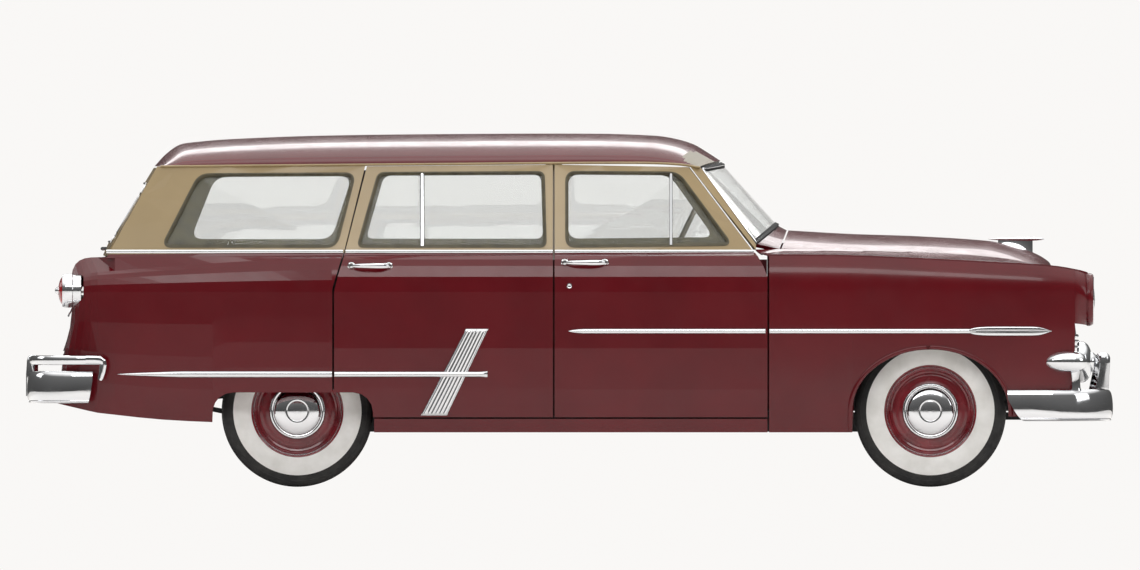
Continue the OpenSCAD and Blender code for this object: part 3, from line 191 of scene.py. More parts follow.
def plain(name, color, rough, grain=60, depth=0.0005, strength=0.2, metal=0.0, spread=0.25, **sockets):
    """One finish with uneven colour and a fine grain."""
    mat, tree, shader = material(name, color, rough, metal, **sockets)
    dark = tuple(c * (1 - spread) for c in color)
    light = tuple(min(1, c * (1 + spread)) for c in color)
    tree.links.new(ramp(tree, noise(tree, grain / 6), dark, light), shader.inputs["Base Color"])
    tree.links.new(ramp(tree, noise(tree, grain / 4), max(0, rough - 0.08), rough + 0.08),
                   shader.inputs["Roughness"])
    bump(tree, shader, noise(tree, grain * 4, 4), strength, depth)
    return mat


def cloth(name, color, thread=900.0):
    """Woven cloth: two crossing waves make the weave, with a soft sheen; the weave's hollows are darkened as painted
    shade.
    """
    mat, tree, shader = material(name, color, 0.85, Sheen_Weight=0.35, Sheen_Roughness=0.5)
    waves = []
    for direction in ("X", "Y"):
        wave = tree.nodes.new("ShaderNodeTexWave")
        wave.bands_direction = direction
        wave.inputs["Scale"].default_value = thread / 6.3
        wave.inputs["Distortion"].default_value = 0.6
        tree.links.new(position(tree), wave.inputs["Vector"])
        waves.append(wave.outputs["Fac"])
    weave = math_node(tree, "MULTIPLY", *waves)
    # Painted shade: the colour drops to 0.62 where the weave, which is also the bump height, is low; the noise mix
    # below is random tone
    dark = tuple(c * 0.62 for c in color)
    tree.links.new(mixed(tree, noise(tree, 40), mixed(tree, weave, dark, color), tuple(c * 0.8 for c in color)),
                   shader.inputs["Base Color"])
    bump(tree, shader, weave, 0.35, 0.0008)
    return mat


# ---- mesh tools ----
SHARP = radians(32)
BEVEL_ANGLE = radians(40)
# Points nearer than this are merged: in turned and swept pieces, in close grids, and in plain shells
FINE, CLOSE, COARSE = 1e-7, 1e-6, 1e-5


def crease(mesh):
    """Smooth faces with edges sharper than SHARP kept hard."""
    bm = bmesh.new()
    bm.from_mesh(mesh)
    for face in bm.faces:
        face.smooth = True
    for edge in bm.edges:
        edge.smooth = len(edge.link_faces) == 2 and edge.calc_face_angle(0) < SHARP
    bm.to_mesh(mesh)
    bm.free()


def piece(name, shape, mat, body="car_body", side=1, merge=FINE, bevel=0.0):
    """A mesh piece from (points, faces) in metres, mirrored where side is -1; it rides on body."""
    mesh = bpy.data.meshes.new(name)
    mesh.from_pydata([(p[0], p[1] * side, p[2]) for p in shape[0]], [], shape[1])
    bm = bmesh.new()
    bm.from_mesh(mesh)
    bmesh.ops.remove_doubles(bm, verts=bm.verts, dist=merge)
    bmesh.ops.recalc_face_normals(bm, faces=bm.faces)
    if bm.calc_volume(signed=True) < 0:
        bmesh.ops.reverse_faces(bm, faces=bm.faces)
    bm.to_mesh(mesh)
    bm.free()
    crease(mesh)
    obj = bpy.data.objects.new(name, mesh)
    bpy.context.scene.collection.objects.link(obj)
    mesh.materials.append(mat)
    if bevel:
        mod = obj.modifiers.new("edges", "BEVEL")
        mod.width = bevel
        mod.segments = 2
        mod.limit_method = "ANGLE"
        mod.angle_limit = BEVEL_ANGLE
        mod.harden_normals = True
    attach(obj, body)
    return obj


def mm(*rows):
    """A table in metres from one in millimetres."""
    return [tuple(value / 1000 for value in row) for row in rows]


SIDES = (("left", 1), ("right", -1))


def both(name, build):
    """build(side, name) for the left side, +1, and the right side, -1."""
    for word, side in SIDES:
        build(side, f"{word}_{name}")


def shell_mesh(outer, inner, ring=False):
    """Points and faces of a closed shell between two grids of points."""
    rows, cols = len(outer), len(outer[0])
    points = [p for grid in (outer, inner) for row in grid for p in row]
    base = rows * cols
    last = rows if ring else rows - 1

    def at(i, j, side=0):
        return side * base + (i % rows) * cols + j

    faces = []
    for i in range(last):
        for j in range(cols - 1):
            for side in (0, 1):
                faces.append((at(i, j, side), at(i + 1, j, side), at(i + 1, j + 1, side), at(i, j + 1, side)))
        for j in (0, cols - 1):
            faces.append((at(i, j), at(i + 1, j), at(i + 1, j, 1), at(i, j, 1)))
    if not ring:
        for i in (0, rows - 1):
            for j in range(cols - 1):
                faces.append((at(i, j), at(i, j + 1), at(i, j + 1, 1), at(i, j, 1)))
    return points, faces


def swept(path, section, closed_path=False):
    """Bar along path: section(k, t) gives the ring of points at station k, t from 0 to 1."""
    rings = [section(k, k / max(len(path) - 1, 1)) for k in range(len(path))]
    n = len(rings[0])
    points = [p for ring in rings for p in ring]
    faces = []
    for k in range(len(rings) - (0 if closed_path else 1)):
        a, b = k * n, ((k + 1) % len(rings)) * n
        faces += [(a + i, a + (i + 1) % n, b + (i + 1) % n, b + i) for i in range(n)]
    if not closed_path:
        faces += [tuple(range(n)), tuple(range((len(rings) - 1) * n, len(rings) * n))]
    return points, faces


def stacked(rings):
    """Closed bar through ready rings of points."""
    return swept(rings, lambda k, t: rings[k])


def ring_of(n, start=0.0):
    """Cosine and sine of n even steps of a full turn."""
    return [(cos(2 * pi * k / n + start), sin(2 * pi * k / n + start)) for k in range(n)]


def laid_on(rows, depth, skin=None):
    """Closed shell from a grid; its back lies depth inwards of it, or of the surface skin(x, z)."""
    back = [[(p[0], (skin(p[0], p[2]) if skin else p[1]) - depth, p[2]) for p in row] for row in rows]
    return shell_mesh(rows, back)


def strip(path, outward, width, height, up=(0, 0, 1), sides=8):
    """Raised half-round strip laid on a surface. path, outward directions and sizes are per station."""
    def section(k, t):
        p, out = Vector(path[k]), Vector(outward[k]).normalized()
        w = width(t) if callable(width) else width
        h = height(t) if callable(height) else height
        a = Vector(path[max(k - 1, 0)])
        b = Vector(path[min(k + 1, len(path) - 1)])
        along = (b - a).normalized()
        rise = along.cross(out).normalized()
        if rise.dot(Vector(up)) < 0:
            rise = -rise
        ring = [p + rise * (w / 2) * cos(pi * i / sides) + out * h * sin(pi * i / sides) for i in range(sides + 1)]
        return ring + [p - rise * w / 2 - out * 0.004, p + rise * w / 2 - out * 0.004]
    return swept(path, section)


def lathe(profile, centre, axis="y", steps=96, side=1):
    """Turned piece about the x or y axis: profile is (radius, along), with along times side on the y axis."""
    points, faces = [], []
    n = len(profile)
    for k, (c, s) in enumerate(ring_of(steps)):
        for r, h in profile:
            ring = (h, r * c, r * s) if axis == "x" else (r * c, h * side, r * s)
            points.append(tuple(middle + q for middle, q in zip(centre, ring)))
        m = (k + 1) % steps
        faces += [(k * n + i, k * n + i + 1, m * n + i + 1, m * n + i) for i in range(n - 1)]
    return points, faces


def joined(*meshes):
    """One list of points and faces from several."""
    points, faces = [], []
    for more_points, more_faces in meshes:
        base = len(points)
        points += list(more_points)
        faces += [tuple(base + i for i in face) for face in more_faces]
    return points, faces


def loop(quad, r, arc=8, straight=8):
    """Loop round a quad of (x, z) with rounded corners."""
    out = []
    n = len(quad)
    for k in range(n):
        c, a, b = Vector(quad[k]), Vector(quad[k - 1]), Vector(quad[(k + 1) % n])
        s, t = c + (a - c).normalized() * r, c + (b - c).normalized() * r
        end = b + (c - b).normalized() * r
        for m in range(arc + 1):
            w = m / arc
            out.append(s * (1 - w) ** 2 + c * 2 * w * (1 - w) + t * w * w)
        out += [t.lerp(end, m / (straight + 1)) for m in range(1, straight + 1)]
    return out


# ---- body lines, in metres ----
def lerp(a, b, t):
    return a + (b - a) * t


def clamp(t, lo=0.0, hi=1.0):
    return max(lo, min(hi, t))


def spread(n, a=0.0, b=1.0):
    return [lerp(a, b, k / n) for k in range(n + 1)]


def curve(p, x):
    """Smooth curve through points (x, value), held flat beyond its ends."""
    x = clamp(x, p[0][0], p[-1][0])
    i = next((k for k in range(len(p) - 2) if x <= p[k + 1][0]), len(p) - 2)

    def slope(k):
        a, b = p[max(k - 1, 0)], p[min(k + 1, len(p) - 1)]
        return (b[1] - a[1]) / (b[0] - a[0])
    h = p[i + 1][0] - p[i][0]
    t = (x - p[i][0]) / h
    return ((2 * t ** 3 - 3 * t ** 2 + 1) * p[i][1] + (t ** 3 - 2 * t ** 2 + t) * h * slope(i)
            + (3 * t ** 2 - 2 * t ** 3) * p[i + 1][1] + (t ** 3 - t ** 2) * h * slope(i + 1))


HALF = 0.9435
ROOF_H = 1.63
SIDE_IN = mm((-2390, 100), (-2000, 50), (-1400, 20), (-600, 5), (300, 0), (1200, 5), (1700, 13), (2100, 35),
             (2330, 80), (2424, 110))
SHOULDER = mm((-2300, 981), (-1701, 1029), (-1154, 1055), (0, 1062), (850, 1068), (1290, 1064), (1607, 1051),
              (1925, 1035), (2222, 1017), (2350, 995), (2403, 971))
BELT_IN = mm((-2150, 132), (-1600, 106), (-600, 80), (300, 80), (850, 112))
DRIP_IN = mm((-1917, 285), (-1400, 235), (-600, 213), (200, 220), (600, 275), (700, 290))
DRIP_DOWN = mm((-1917, 150), (-600, 139), (300, 133), (500, 140), (620, 158), (700, 170))
ROOF_DOWN = mm((-1917, 150), (-1868, 97), (-1807, 53), (-1745, 40), (-1568, 25), (-1154, 9), (-500, 1), (139, 0),
               (392, 9), (481, 22), (569, 48), (631, 84), (693, 124))
ROUND_Z = 0.9
ROUND_IN = 0.045
TUCK_IN = 0.024


def wide(x):
    return HALF - curve(SIDE_IN, x)


def shoulder(x):
    return curve(SHOULDER, x)


def belt(x):
    return BELT_BASE + (x - BELT_REAR) * BELT_SLOPE


def belt_y(x):
    return HALF - curve(BELT_IN, x)


def drip(x):
    return ROOF_H - curve(DRIP_DOWN, x)


def drip_y(x):
    return HALF - curve(DRIP_IN, x)


def glass_y(x, z):
    return lerp(belt_y(x), drip_y(x), (z - belt(x)) / (drip(x) - belt(x)))


def side_y(x, z):
    if z > shoulder(x):
        return lerp(wide(x) - ROUND_IN, belt_y(x), (z - shoulder(x)) / max(belt(x) - shoulder(x), 0.001))
    if z > ROUND_Z:
        return wide(x) - ROUND_IN * ((z - ROUND_Z) / (shoulder(x) - ROUND_Z)) ** 2.5
    return wide(x) - TUCK_IN * ((ROUND_Z - z) / 0.6) ** 3


def on_side(x, z, proud=0.0):
    return (x, side_y(x, z) + proud, z)


def on_glass(x, z, proud=0.0):
    return (x, glass_y(x, z) + proud, z)


# ---- finishes used by many pieces ----
RED_PAINT = one_paint("red_enamel", RED, RED_DEEP, Coat_Weight=0.3, Coat_Roughness=0.05)
TAN_PAINT = one_paint("tan_enamel", TAN, TAN_DEEP, Coat_Weight=0.25, Coat_Roughness=0.08)
TWO_TONE = two_tone_paint()
CHROME = chrome()
GLASS = clear_glass()
RUBBER = rubber()
WHITE = white_rubber()
WHEEL_RED = plain("wheel_enamel", (0.16, 0.006, 0.012), 0.25, Coat_Weight=0.6)
DARK_STEEL = plain("chassis_black", (0.018, 0.018, 0.019), 0.55, grain=90)
IRON = plain("engine_iron", (0.11, 0.12, 0.125), 0.6, grain=120, strength=0.5)
PIPE = plain("exhaust_steel", (0.2, 0.17, 0.15), 0.5, grain=100, metal=0.8)
GREEN_CLOTH = cloth("dark_green_cloth", (0.03, 0.062, 0.048))
GREEN_VINYL = plain("green_vinyl", (0.035, 0.07, 0.055), 0.5, grain=260, depth=0.0006, strength=0.4)
GREEN_PAINT = plain("green_dash_enamel", (0.03, 0.065, 0.05), 0.28, Coat_Weight=0.4)
IVORY = plain("ivory_plastic", (0.58, 0.53, 0.4), 0.3, Coat_Weight=0.3)
HEADLINER = cloth("headliner_cloth", (0.46, 0.42, 0.34), 700.0)
CARPET = plain("floor_mat", (0.02, 0.024, 0.022), 0.9, grain=420, depth=0.003, strength=0.8)
LENS_RED = plain("red_lens", (0.3, 0.004, 0.006), 0.12, grain=30, Coat_Weight=0.5)
LENS_CLEAR = plain("lamp_glass", (0.72, 0.75, 0.76), 0.08, grain=30, Coat_Weight=0.8)
SEAL = plain("door_seal", (0.012, 0.012, 0.012), 0.7, grain=200)
REVEAL = plain("window_reveal", (0.075, 0.062, 0.03), 0.45, grain=120)

CORNERS = [f"{word}_{end}" for word, _ in SIDES for end in ("front", "rear")]
CAD_FINISH = {
    TWO_TONE: [f"{corner}_door" for corner in CORNERS] + ["left_quarter", "right_quarter"],
    RED_PAINT: ["rockers", "cowl", "firewall", "roof", "left_fender", "right_fender", "hood", "grille_panel",
                "tailgate", "hinge_posts"],
    TAN_PAINT: ["pillars", "rear_header", "liftgate"],
    CHROME: ["grille", "headlamps", "front_bumper", "rear_bumper"],
    GLASS: ["windshield", "quarter_glass", "liftgate_glass"] + [f"{corner}_glass" for corner in CORNERS],
    RUBBER: [f"{corner}_tyre" for corner in CORNERS],
    WHEEL_RED: [f"{corner}_wheel" for corner in CORNERS],
    DARK_STEEL: ["chassis_frame", "aprons", "left_knuckle", "right_knuckle", "front_suspension", "rear_axle",
                 "radiator", "fuel_tank"],
    CARPET: ["floor_pan"],
    IRON: ["engine"],
    PIPE: ["exhaust"],
    GREEN_PAINT: ["dashboard", "steering_column"],
    GREEN_CLOTH: ["front_bench", "middle_bench", "rear_bench"],
    IVORY: ["steering_wheel"],
    LENS_RED: ["tail_lamps"],
}
for finish, names in CAD_FINISH.items():
    for node_name in names:
        node_object = NODES[node_name]
        if not node_object.material_slots:
            node_object.data.materials.append(finish)
        for material_slot in node_object.material_slots:
            material_slot.material = finish
        crease(node_object.data)


# ---- roof, hood and fenders, finer than their CAD nodes ----
def in_material(obj, mat, test):
    """Gives the faces that pass the test a second material."""
    obj.data.materials.append(mat)
    index = len(obj.data.materials) - 1
    for face in obj.data.polygons:
        if test(face):
            face.material_index = index


ROOF_REAR, ROOF_FRONT = -1.917, 0.693
GATE_BOW = 0.02
ROOF_T = 0.034


def roof_point(t, v):
    s = abs(v)
    x = lerp(ROOF_REAR + GATE_BOW * s ** 2, ROOF_FRONT - 0.093 * s ** 2, t)
    xs = lerp(ROOF_REAR + GATE_BOW, ROOF_FRONT - 0.093, t)
    low = drip(xs)
    crown = ROOF_H - curve(ROOF_DOWN, lerp(ROOF_REAR, ROOF_FRONT, t)) - low
    return (x, drip_y(x) * v, low + crown * max(1 - s ** 2.2, 0) ** 0.62)


def roof():
    ts = spread(14, 0, 0.07) + spread(30, 0.07, 0.88)[1:] + spread(18, 0.88, 1)[1:]
    vs = [sin(radians(a)) for a in spread(56, -90, 90)]
    outer = [[roof_point(t, v) for v in vs] for t in ts]
    inner = []
    for row in outer:
        edge = row[0][2]
        inner.append([(lerp(p[0], -0.6, 0.014), p[1] * 0.955, max(p[2] - ROOF_T, edge + 0.0005)) for p in row])
    obj = piece("roof_panel", shell_mesh(outer, inner), RED_PAINT, merge=COARSE)

    def lining(face):
        x, y, z = face.center
        t = (x - ROOF_REAR) / (ROOF_FRONT - ROOF_REAR)
        return z < roof_point(clamp(t), clamp(y / drip_y(x), -1, 1))[2] - 0.014
    in_material(obj, HEADLINER, lining)
    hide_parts("roof")


SEAM_IN = mm((860, 163), (960, 246), (975, 249), (1270, 253), (1580, 275), (1880, 313), (2090, 351), (2185, 363),
             (2250, 355), (2330, 333))
SEAM_Z = mm((860, 1096), (975, 1098), (1270, 1092), (1580, 1080), (1880, 1062), (2090, 1035), (2185, 1000),
            (2250, 960), (2330, 905))
HOOD_STEPS = (0, 0.22, 0.46, 0.68, 0.77, 0.85, 0.91, 0.94, 0.97, 1)
HOOD_X = list(zip(HOOD_STEPS, (1.008, 1.29, 1.607, 1.925, 2.032, 2.137, 2.201, 2.222, 2.25, 2.272)))
HOOD_Z = list(zip(HOOD_STEPS, (1.184, 1.168, 1.157, 1.136, 1.115, 1.082, 1.046, 1.018, 0.94, 0.85)))
HOOD_SIDE_X = list(zip(HOOD_STEPS, (0.975, 1.27, 1.58, 1.88, 1.985, 2.09, 2.15, 2.18, 2.222, 2.245)))


def seam_y(x):
    return HALF - curve(SEAM_IN, x)


def seam_z(x):
    return curve(SEAM_Z, x)


def hood_side(t):
    x = curve(HOOD_SIDE_X, t)
    if t < 0.94:
        return (x, seam_y(x), seam_z(x))
    u = (t - 0.94) / 0.06
    return (x, seam_y(2.18) - 0.024 * u, lerp(seam_z(2.18), 0.85, u))


def hood_point(t, v):
    f = abs(v) ** 2.4
    s = hood_side(t)
    return (lerp(curve(HOOD_X, t), s[0], f), s[1] * v, lerp(curve(HOOD_Z, t), s[2], f))


def hood():
    ts = spread(46, 0, 0.85) + spread(14, 0.85, 1)[1:]
    vs = [sin(radians(a)) for a in spread(44, -90, 90)]
    outer = [[hood_point(t, v) for v in vs] for t in ts]
    inner = [[(p[0] - 0.012 * (i / len(ts)), p[1] * 0.992, p[2] - 0.019 * (1 - 0.6 * (i / len(ts)) ** 6)) for p in row]
             for i, row in enumerate(outer)]
    obj = piece("hood_panel", shell_mesh(outer, inner), RED_PAINT, "hood", merge=COARSE)
    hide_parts("hood")


FRONT_X = 1.663
TYRE_R = 0.35
FRONT_ARCH, ARCH_RISE = TYRE_R + 0.01, 0.284
FENDER_LOW, FENDER_LOW_FRONT, FENDER_MID, FENDER_END = 0.252, 0.325, 0.745, 2.33
NOSE_X, LAMP_Y, LAMP_Z, NACELLE_R = 2.385, HALF - 0.216, 0.865, 0.12
SHUT_GAP = 0.008
FENDER_SKIN = 0.006
DOOR_FRONT = mm((252, 911), (985, 911), (1004, 901), (1095, 850))


def line(p, x):
    x = clamp(x, p[0][0], p[-1][0])
    i = next((k for k in range(len(p) - 2) if x <= p[k + 1][0]), len(p) - 2)
    return lerp(p[i][1], p[i + 1][1], (x - p[i][0]) / (p[i + 1][0] - p[i][0]))


def fender_edge(x):
    if abs(x - FRONT_X) < FRONT_ARCH:
        return TYRE_R + ARCH_RISE * sqrt(max(1 - ((x - FRONT_X) / FRONT_ARCH) ** 2, 0))
    return FENDER_LOW if x < FRONT_X else FENDER_LOW_FRONT


def fender_point(x, v):
    """Point of the fender: v is 0 at its edge, 2 where it rounds, 3 at the shoulder and 4 at the hood's seam."""
    if v > 3:
        t = v - 3
        return (x, lerp(wide(x) - ROUND_IN, seam_y(x) + SHUT_GAP, t),
                shoulder(x) + (seam_z(x) - shoulder(x)) * t ** 1.6)
    if v > 2:
        return on_side(x, lerp(ROUND_Z, shoulder(x), sin((v - 2) * pi / 2)))
    return on_side(x, lerp(FENDER_MID, ROUND_Z, v - 1) if v > 1 else lerp(fender_edge(x), FENDER_MID, v))


def fender_rear(v):
    return SHUT_GAP + line(DOOR_FRONT, lerp(0.7, 0.985, v - 2) if v < 3 else lerp(1.01, 1.096, v - 3))


def nose_point(t, edge, v):
    angle = radians(-90 + 255 * (v - 1) / 3)
    f = lerp(t, 1 - sqrt(1 - t * t), 0.4)
    return (lerp(FENDER_END + 0.0005, NOSE_X, t), lerp(edge[1], LAMP_Y + NACELLE_R * cos(angle), f),
            lerp(edge[2], LAMP_Z + NACELLE_R * sin(angle), f))


def fender(side, name):
    vs = [0, 0.012, 0.03] + spread(8, 0.12, 2) + spread(10, 2, 3)[1:] + spread(9, 3, 4)[1:]
    low, high = FRONT_X - FRONT_ARCH, FRONT_X + FRONT_ARCH
    xs = spread(8, 0.95, low - 0.0005) + [FRONT_X - (FRONT_ARCH - 1e-5) * cos(radians(a)) for a in spread(44, 0, 180)]
    xs += spread(8, high + 0.0005, FENDER_END)
    rows = [[fender_point(fender_rear(v), v) for v in vs]]
    for i, x in enumerate(xs):
        rows.append([fender_point(max(x, fender_rear(v) + 0.01 + 0.003 * i), v) for v in vs])
    nose_vs = [v for v in vs if v >= 1]
    edges = {v: fender_point(FENDER_END, v) for v in nose_vs}
    nose = [[nose_point(t, edges[v], v) for v in nose_vs] for t in [sin(radians(a)) for a in spread(16, 0, 90)]]
    parts = [shell_mesh(grid, flat_offset(grid, FENDER_SKIN)) for grid in (rows, nose)]
    obj = piece(name, joined(*parts), RED_PAINT, side=side, merge=CLOSE)
    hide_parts(name.replace("_panel", ""))


def flat_offset(rows, t):
    """The grid moved in towards the car by t along its own normals."""
    out = []
    for i, row in enumerate(rows):
        moved = []
        for j, p in enumerate(row):
            a = Vector(rows[min(i + 1, len(rows) - 1)][j]) - Vector(rows[max(i - 1, 0)][j])
            b = Vector(row[min(j + 1, len(row) - 1)]) - Vector(row[max(j - 1, 0)])
            n = a.cross(b)
            n = n.normalized() if n.length > 1e-12 else Vector((0, 1, 0))
            moved.append(tuple(Vector(p) - n * (t if n.y > -0.2 else -t)))
        out.append(moved)
    return out


roof()
hood()
both("fender_panel", fender)


# ---- tyres, wheels and caps ----
RIM_R = 0.205
WHITE_IN, WHITE_OUT = 0.2125, 0.2962


def tyre_section(groove):
    """Half section of a bias tyre from the outer bead over the crown, as (radius, outward)."""
    side = [(RIM_R - 0.002, 0.058), (RIM_R + 0.004, 0.069), (0.212, 0.0745), (0.2135, 0.078),
            (0.23, 0.0855), (0.25, 0.089), (0.27, 0.0895), (0.296, 0.087), (0.2965, 0.0855),
            (0.308, 0.0835), (0.32, 0.0795), (0.3215, 0.0805), (0.333, 0.0755), (0.342, 0.069)]
    crown = []
    for k in range(11):
        h = lerp(0.0645, 0, k / 10)
        deep = groove if k in (2, 3, 6, 7) else 0
        crown.append((TYRE_R - 0.0005 - 0.0052 * (h / 0.0645) ** 2.4 - deep, h))
    return side + crown


TREAD_STEPS, TREAD_DEEP, ZIGZAG, SIPE = 288, 0.008, 0.0042, 0.0035
WALL_POINTS = 14


def tyre(name, x, y, side, body, node):
    """Tyre with zigzag grooves and sipes in its tread, and a white band on its outer wall."""
    points, faces = [], []
    half = tyre_section(TREAD_DEEP)
    wall, crown = half[:WALL_POINTS], half[WALL_POINTS:]
    for k, (c, s) in enumerate(ring_of(TREAD_STEPS)):
        zig = ZIGZAG * (1 if (k // 3) % 2 else -1)
        sipe = SIPE if k % 6 == 0 else 0.0

        def tread(way):
            return [(r - (sipe if m in (0, 1, 4, 5, 8, 9) and r > TYRE_R - 0.007 else 0),
                     way * h + (zig if 1 < m < 10 else 0)) for m, (r, h) in enumerate(crown)]
        ring = wall + tread(1) + tread(-1)[-2::-1] + [(r, -h) for r, h in wall[::-1]]
        n = len(ring)
        points += [(x + r * c, y + h * side, TYRE_R + r * s) for r, h in ring]
        m = (k + 1) % TREAD_STEPS
        faces += [(k * n + i, k * n + (i + 1) % n, m * n + (i + 1) % n, m * n + i) for i in range(n)]
    obj = piece(name, (points, faces), RUBBER, body, merge=CLOSE)

    def white(face):
        c = face.center
        r = sqrt((c.x - x) ** 2 + (c.z - TYRE_R) ** 2)
        return WHITE_IN < r < WHITE_OUT and (c.y - y) * side > 0.07
    in_material(obj, WHITE, white)
    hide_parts(node)


WHEEL_PROFILE = mm((26, -30), (70, -30), (70, 22), (120, 36), (182, 28), (183, -60), (200.5, -68), (213, -78),
                   (216.5, -72), (213, -66), (200.5, -60), (192, 0), (200, 60), (212.5, 66), (216.5, 71),
                   (216.5, 75.5), (212, 78), (207, 75.5), (203, 68), (198, 60), (190, 54.5), (186.5, 50), (184, 43.5),
                   (176, 40.5), (168, 44.5), (158, 47), (148, 45), (138, 47.5), (130, 50), (127, 47), (110, 46),
                   (90, 46), (60, 44), (26, 42))
CAP_PROFILE = mm((127.5, 47.5), (129, 50), (128.5, 54), (125.5, 57.5), (122, 59), (117, 59), (113.5, 57.5), (111, 58),
                 (104, 65.5), (93, 71.5), (78, 76.5), (60, 80.5), (49, 82.2), (46.5, 81.2), (44, 82), (33, 84.8),
                 (18, 86.2), (0.1, 86.6), (0.1, 50), (110, 48))


TRIM_PROFILE = mm((198.5, 60.5), (201, 65), (204.5, 70), (204, 71.5), (199.5, 66), (197, 61))
NUT_PROFILE = mm((0.1, 0), (11, 0), (10, 9), (0.1, 10))
NUT_COUNT, NUT_RING = 5, 0.094


def wheel(name, x, y, side, body, node):
    at = (x, y, TYRE_R)
    turned = [piece(f"{name}_{label}", lathe(profile + profile[:1], at, steps=120, side=side), finish, body,
                    merge=CLOSE)
              for label, profile, finish in (("disc", WHEEL_PROFILE, WHEEL_RED), ("cap", CAP_PROFILE, CHROME),
                                             ("trim_ring", TRIM_PROFILE, CHROME))]
    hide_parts(node)
    nuts = []
    for c, s in ring_of(NUT_COUNT, 0.3):
        spot = (x + NUT_RING * c, y + side * 0.046, TYRE_R + NUT_RING * s)
        nuts.append(lathe(NUT_PROFILE, spot, steps=6, side=side))
    piece(f"{name}_nuts", joined(*nuts), IRON, body, merge=COARSE)


for word, side in SIDES:
    for end in ("front", "rear"):
        low, high = (Vector(c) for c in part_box(f"{word}_{end}_tyre"))
        centre = (low + high) / 2
        body = f"{word}_{end}_road_wheel"
        tyre(f"{word}_{end}_tyre_mesh", centre.x, centre.y, side, body, f"{word}_{end}_tyre")
        wheel(f"{word}_{end}_wheel", centre.x, centre.y, side, body, f"{word}_{end}_wheel")


# ---- bumpers, guards, pods and grille ----
BLADE = ((0.0, 0.03), (0.006, 0.017), (0.03, 0.009), (0.055, 0.0085), (0.078, 0.0125), (0.095, 0.008),
         (0.15, 0.004), (0.25, 0.0012), (0.38, 0.0), (0.55, 0.0005), (0.7, 0.0025), (0.82, 0.0055), (0.9, 0.009),
         (0.96, 0.0145), (0.99, 0.021), (1.0, 0.03))


def wrapped_blade(name, end_low, end_high, tip, z0, z1, t=0.004, profile=BLADE):
    """Bulged blade wrapped round the body; its ends slope from end_low at the foot to end_high at the top."""
    steps = [sin(radians(a)) for a in spread(36, -78, 78)]
    steps = [s / steps[-1] for s in steps]
    steps = sorted(set(steps + [k * s for k in (-1, 1) for s in (0.985, 0.993, 0.998)]))

    def path(s, b):
        low = lerp(end_low, end_high, clamp(b * 1.4) ** 0.7)
        return Vector((low + (tip - low) * max(1 - abs(s) ** 8, 0) ** 0.4, (HALF - 0.001) * s, 0))

    def grid(extra):
        rows = []
        for i, s in enumerate(steps):
            row = []
            for b, depth in profile:
                a, c = path(steps[max(i - 1, 0)], b), path(steps[min(i + 1, len(steps) - 1)], b)
                d = (c - a).normalized()
                inward = Vector((-d.y, d.x, 0)) * (1 if tip > 0 else -1)
                p = path(s, b) + inward * (depth + extra)
                row.append((p.x, p.y, lerp(z0, z1, b)))
            rows.append(row)
        return rows
    return piece(name, shell_mesh(grid(0), grid(t)), CHROME)


def column(stations, power=3.0):
    """Upright rounded column: stations are (x, y, z, half depth, half width)."""
    rings = []
    for x, y, z, a, b in stations:
        turns = [(c, s, (abs(c) ** power + abs(s) ** power) ** (-1 / power)) for c, s in ring_of(28)]
        rings.append([(x + a * r * c, y + b * r * s, z) for c, s, r in turns])
    return stacked(rings)


# Bumper guards, as stations of column
FRONT_GUARD = mm((2440, 300, 395, 34, 30), (2440, 300, 448, 46, 37), (2441, 300, 460, 45, 37),
                 (2449, 300, 520, 40, 36), (2455, 300, 570, 37, 35), (2458, 300, 595, 35, 34),
                 (2458, 300, 607, 31, 31), (2458, 300, 615, 24, 25), (2458, 300, 619.5, 14, 15),
                 (2458, 300, 621, 2, 2))
REAR_GUARD = mm((-2478, 380, 405, 22, 24), (-2482, 380, 420, 28, 31), (-2482, 380, 520, 28, 31),
                (-2480, 380, 585, 26, 29), (-2478, 380, 602, 22, 25), (-2476, 380, 609, 12, 14),
                (-2476, 380, 611, 2, 2))


def bumper_brackets():
    boxes = []
    faces = [(0, 1, 2, 3), (4, 5, 6, 7)] + [(i, (i + 1) % 4, 4 + (i + 1) % 4, 4 + i) for i in range(4)]
    for side in (-1, 1):
        for x0, x1, y, z0, z1 in ((2.2504, 2.494, 0.405, 0.31, 0.345), (-2.494, -2.2904, 0.495, 0.425, 0.465)):
            y0, y1 = side * y - 0.018, side * y + 0.018
            boxes.append(([(x, a, b) for x in (x0, x1) for a, b in ((y0, z0), (y1, z0), (y1, z1), (y0, z1))], faces))
    piece("bumper_brackets", joined(*boxes), DARK_STEEL, merge=COARSE, bevel=0.003)


UPPER_BAR = ((0.0, 0.014), (0.06, 0.006), (0.2, 0.0015), (0.5, 0.0), (0.8, 0.0015), (0.94, 0.006), (1.0, 0.014))


def bar_end(side, name):
    """End of the rear bumper's upper bar, turned down."""
    path = mm((-2235, 938.5, 587), (-2190, 939.2, 586.8), (-2168, 939.3, 584.5), (-2156, 939.2, 576),
              (-2154, 939, 562), (-2158, 938.5, 530), (-2166, 938, 502), (-2170, 937.5, 493))
    shape = strip(path, [(0, 1, 0)] * len(path), lambda t: lerp(0.038, 0.02, t ** 2), 0.0065, sides=10)
    piece(name, shape, CHROME, side=side)


front_blade = wrapped_blade("front_bumper_blade", 2.094, 2.019, 2.5055, 0.304, 0.45)
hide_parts("front_bumper")
rear_blade = wrapped_blade("rear_bumper_blade", -2.225, -2.204, -2.5055, 0.386, 0.535)
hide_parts("rear_bumper")
wrapped_blade("rear_bumper_bar", -2.168, -2.166, -2.495, 0.563, 0.607, t=0.01, profile=UPPER_BAR)
both("front_bumper_guard", lambda side, name: piece(name, column(FRONT_GUARD), CHROME, side=side))
both("rear_bumper_guard", lambda side, name: piece(name, column(REAR_GUARD), CHROME, side=side))
both("rear_bar_end", bar_end)
bumper_brackets()

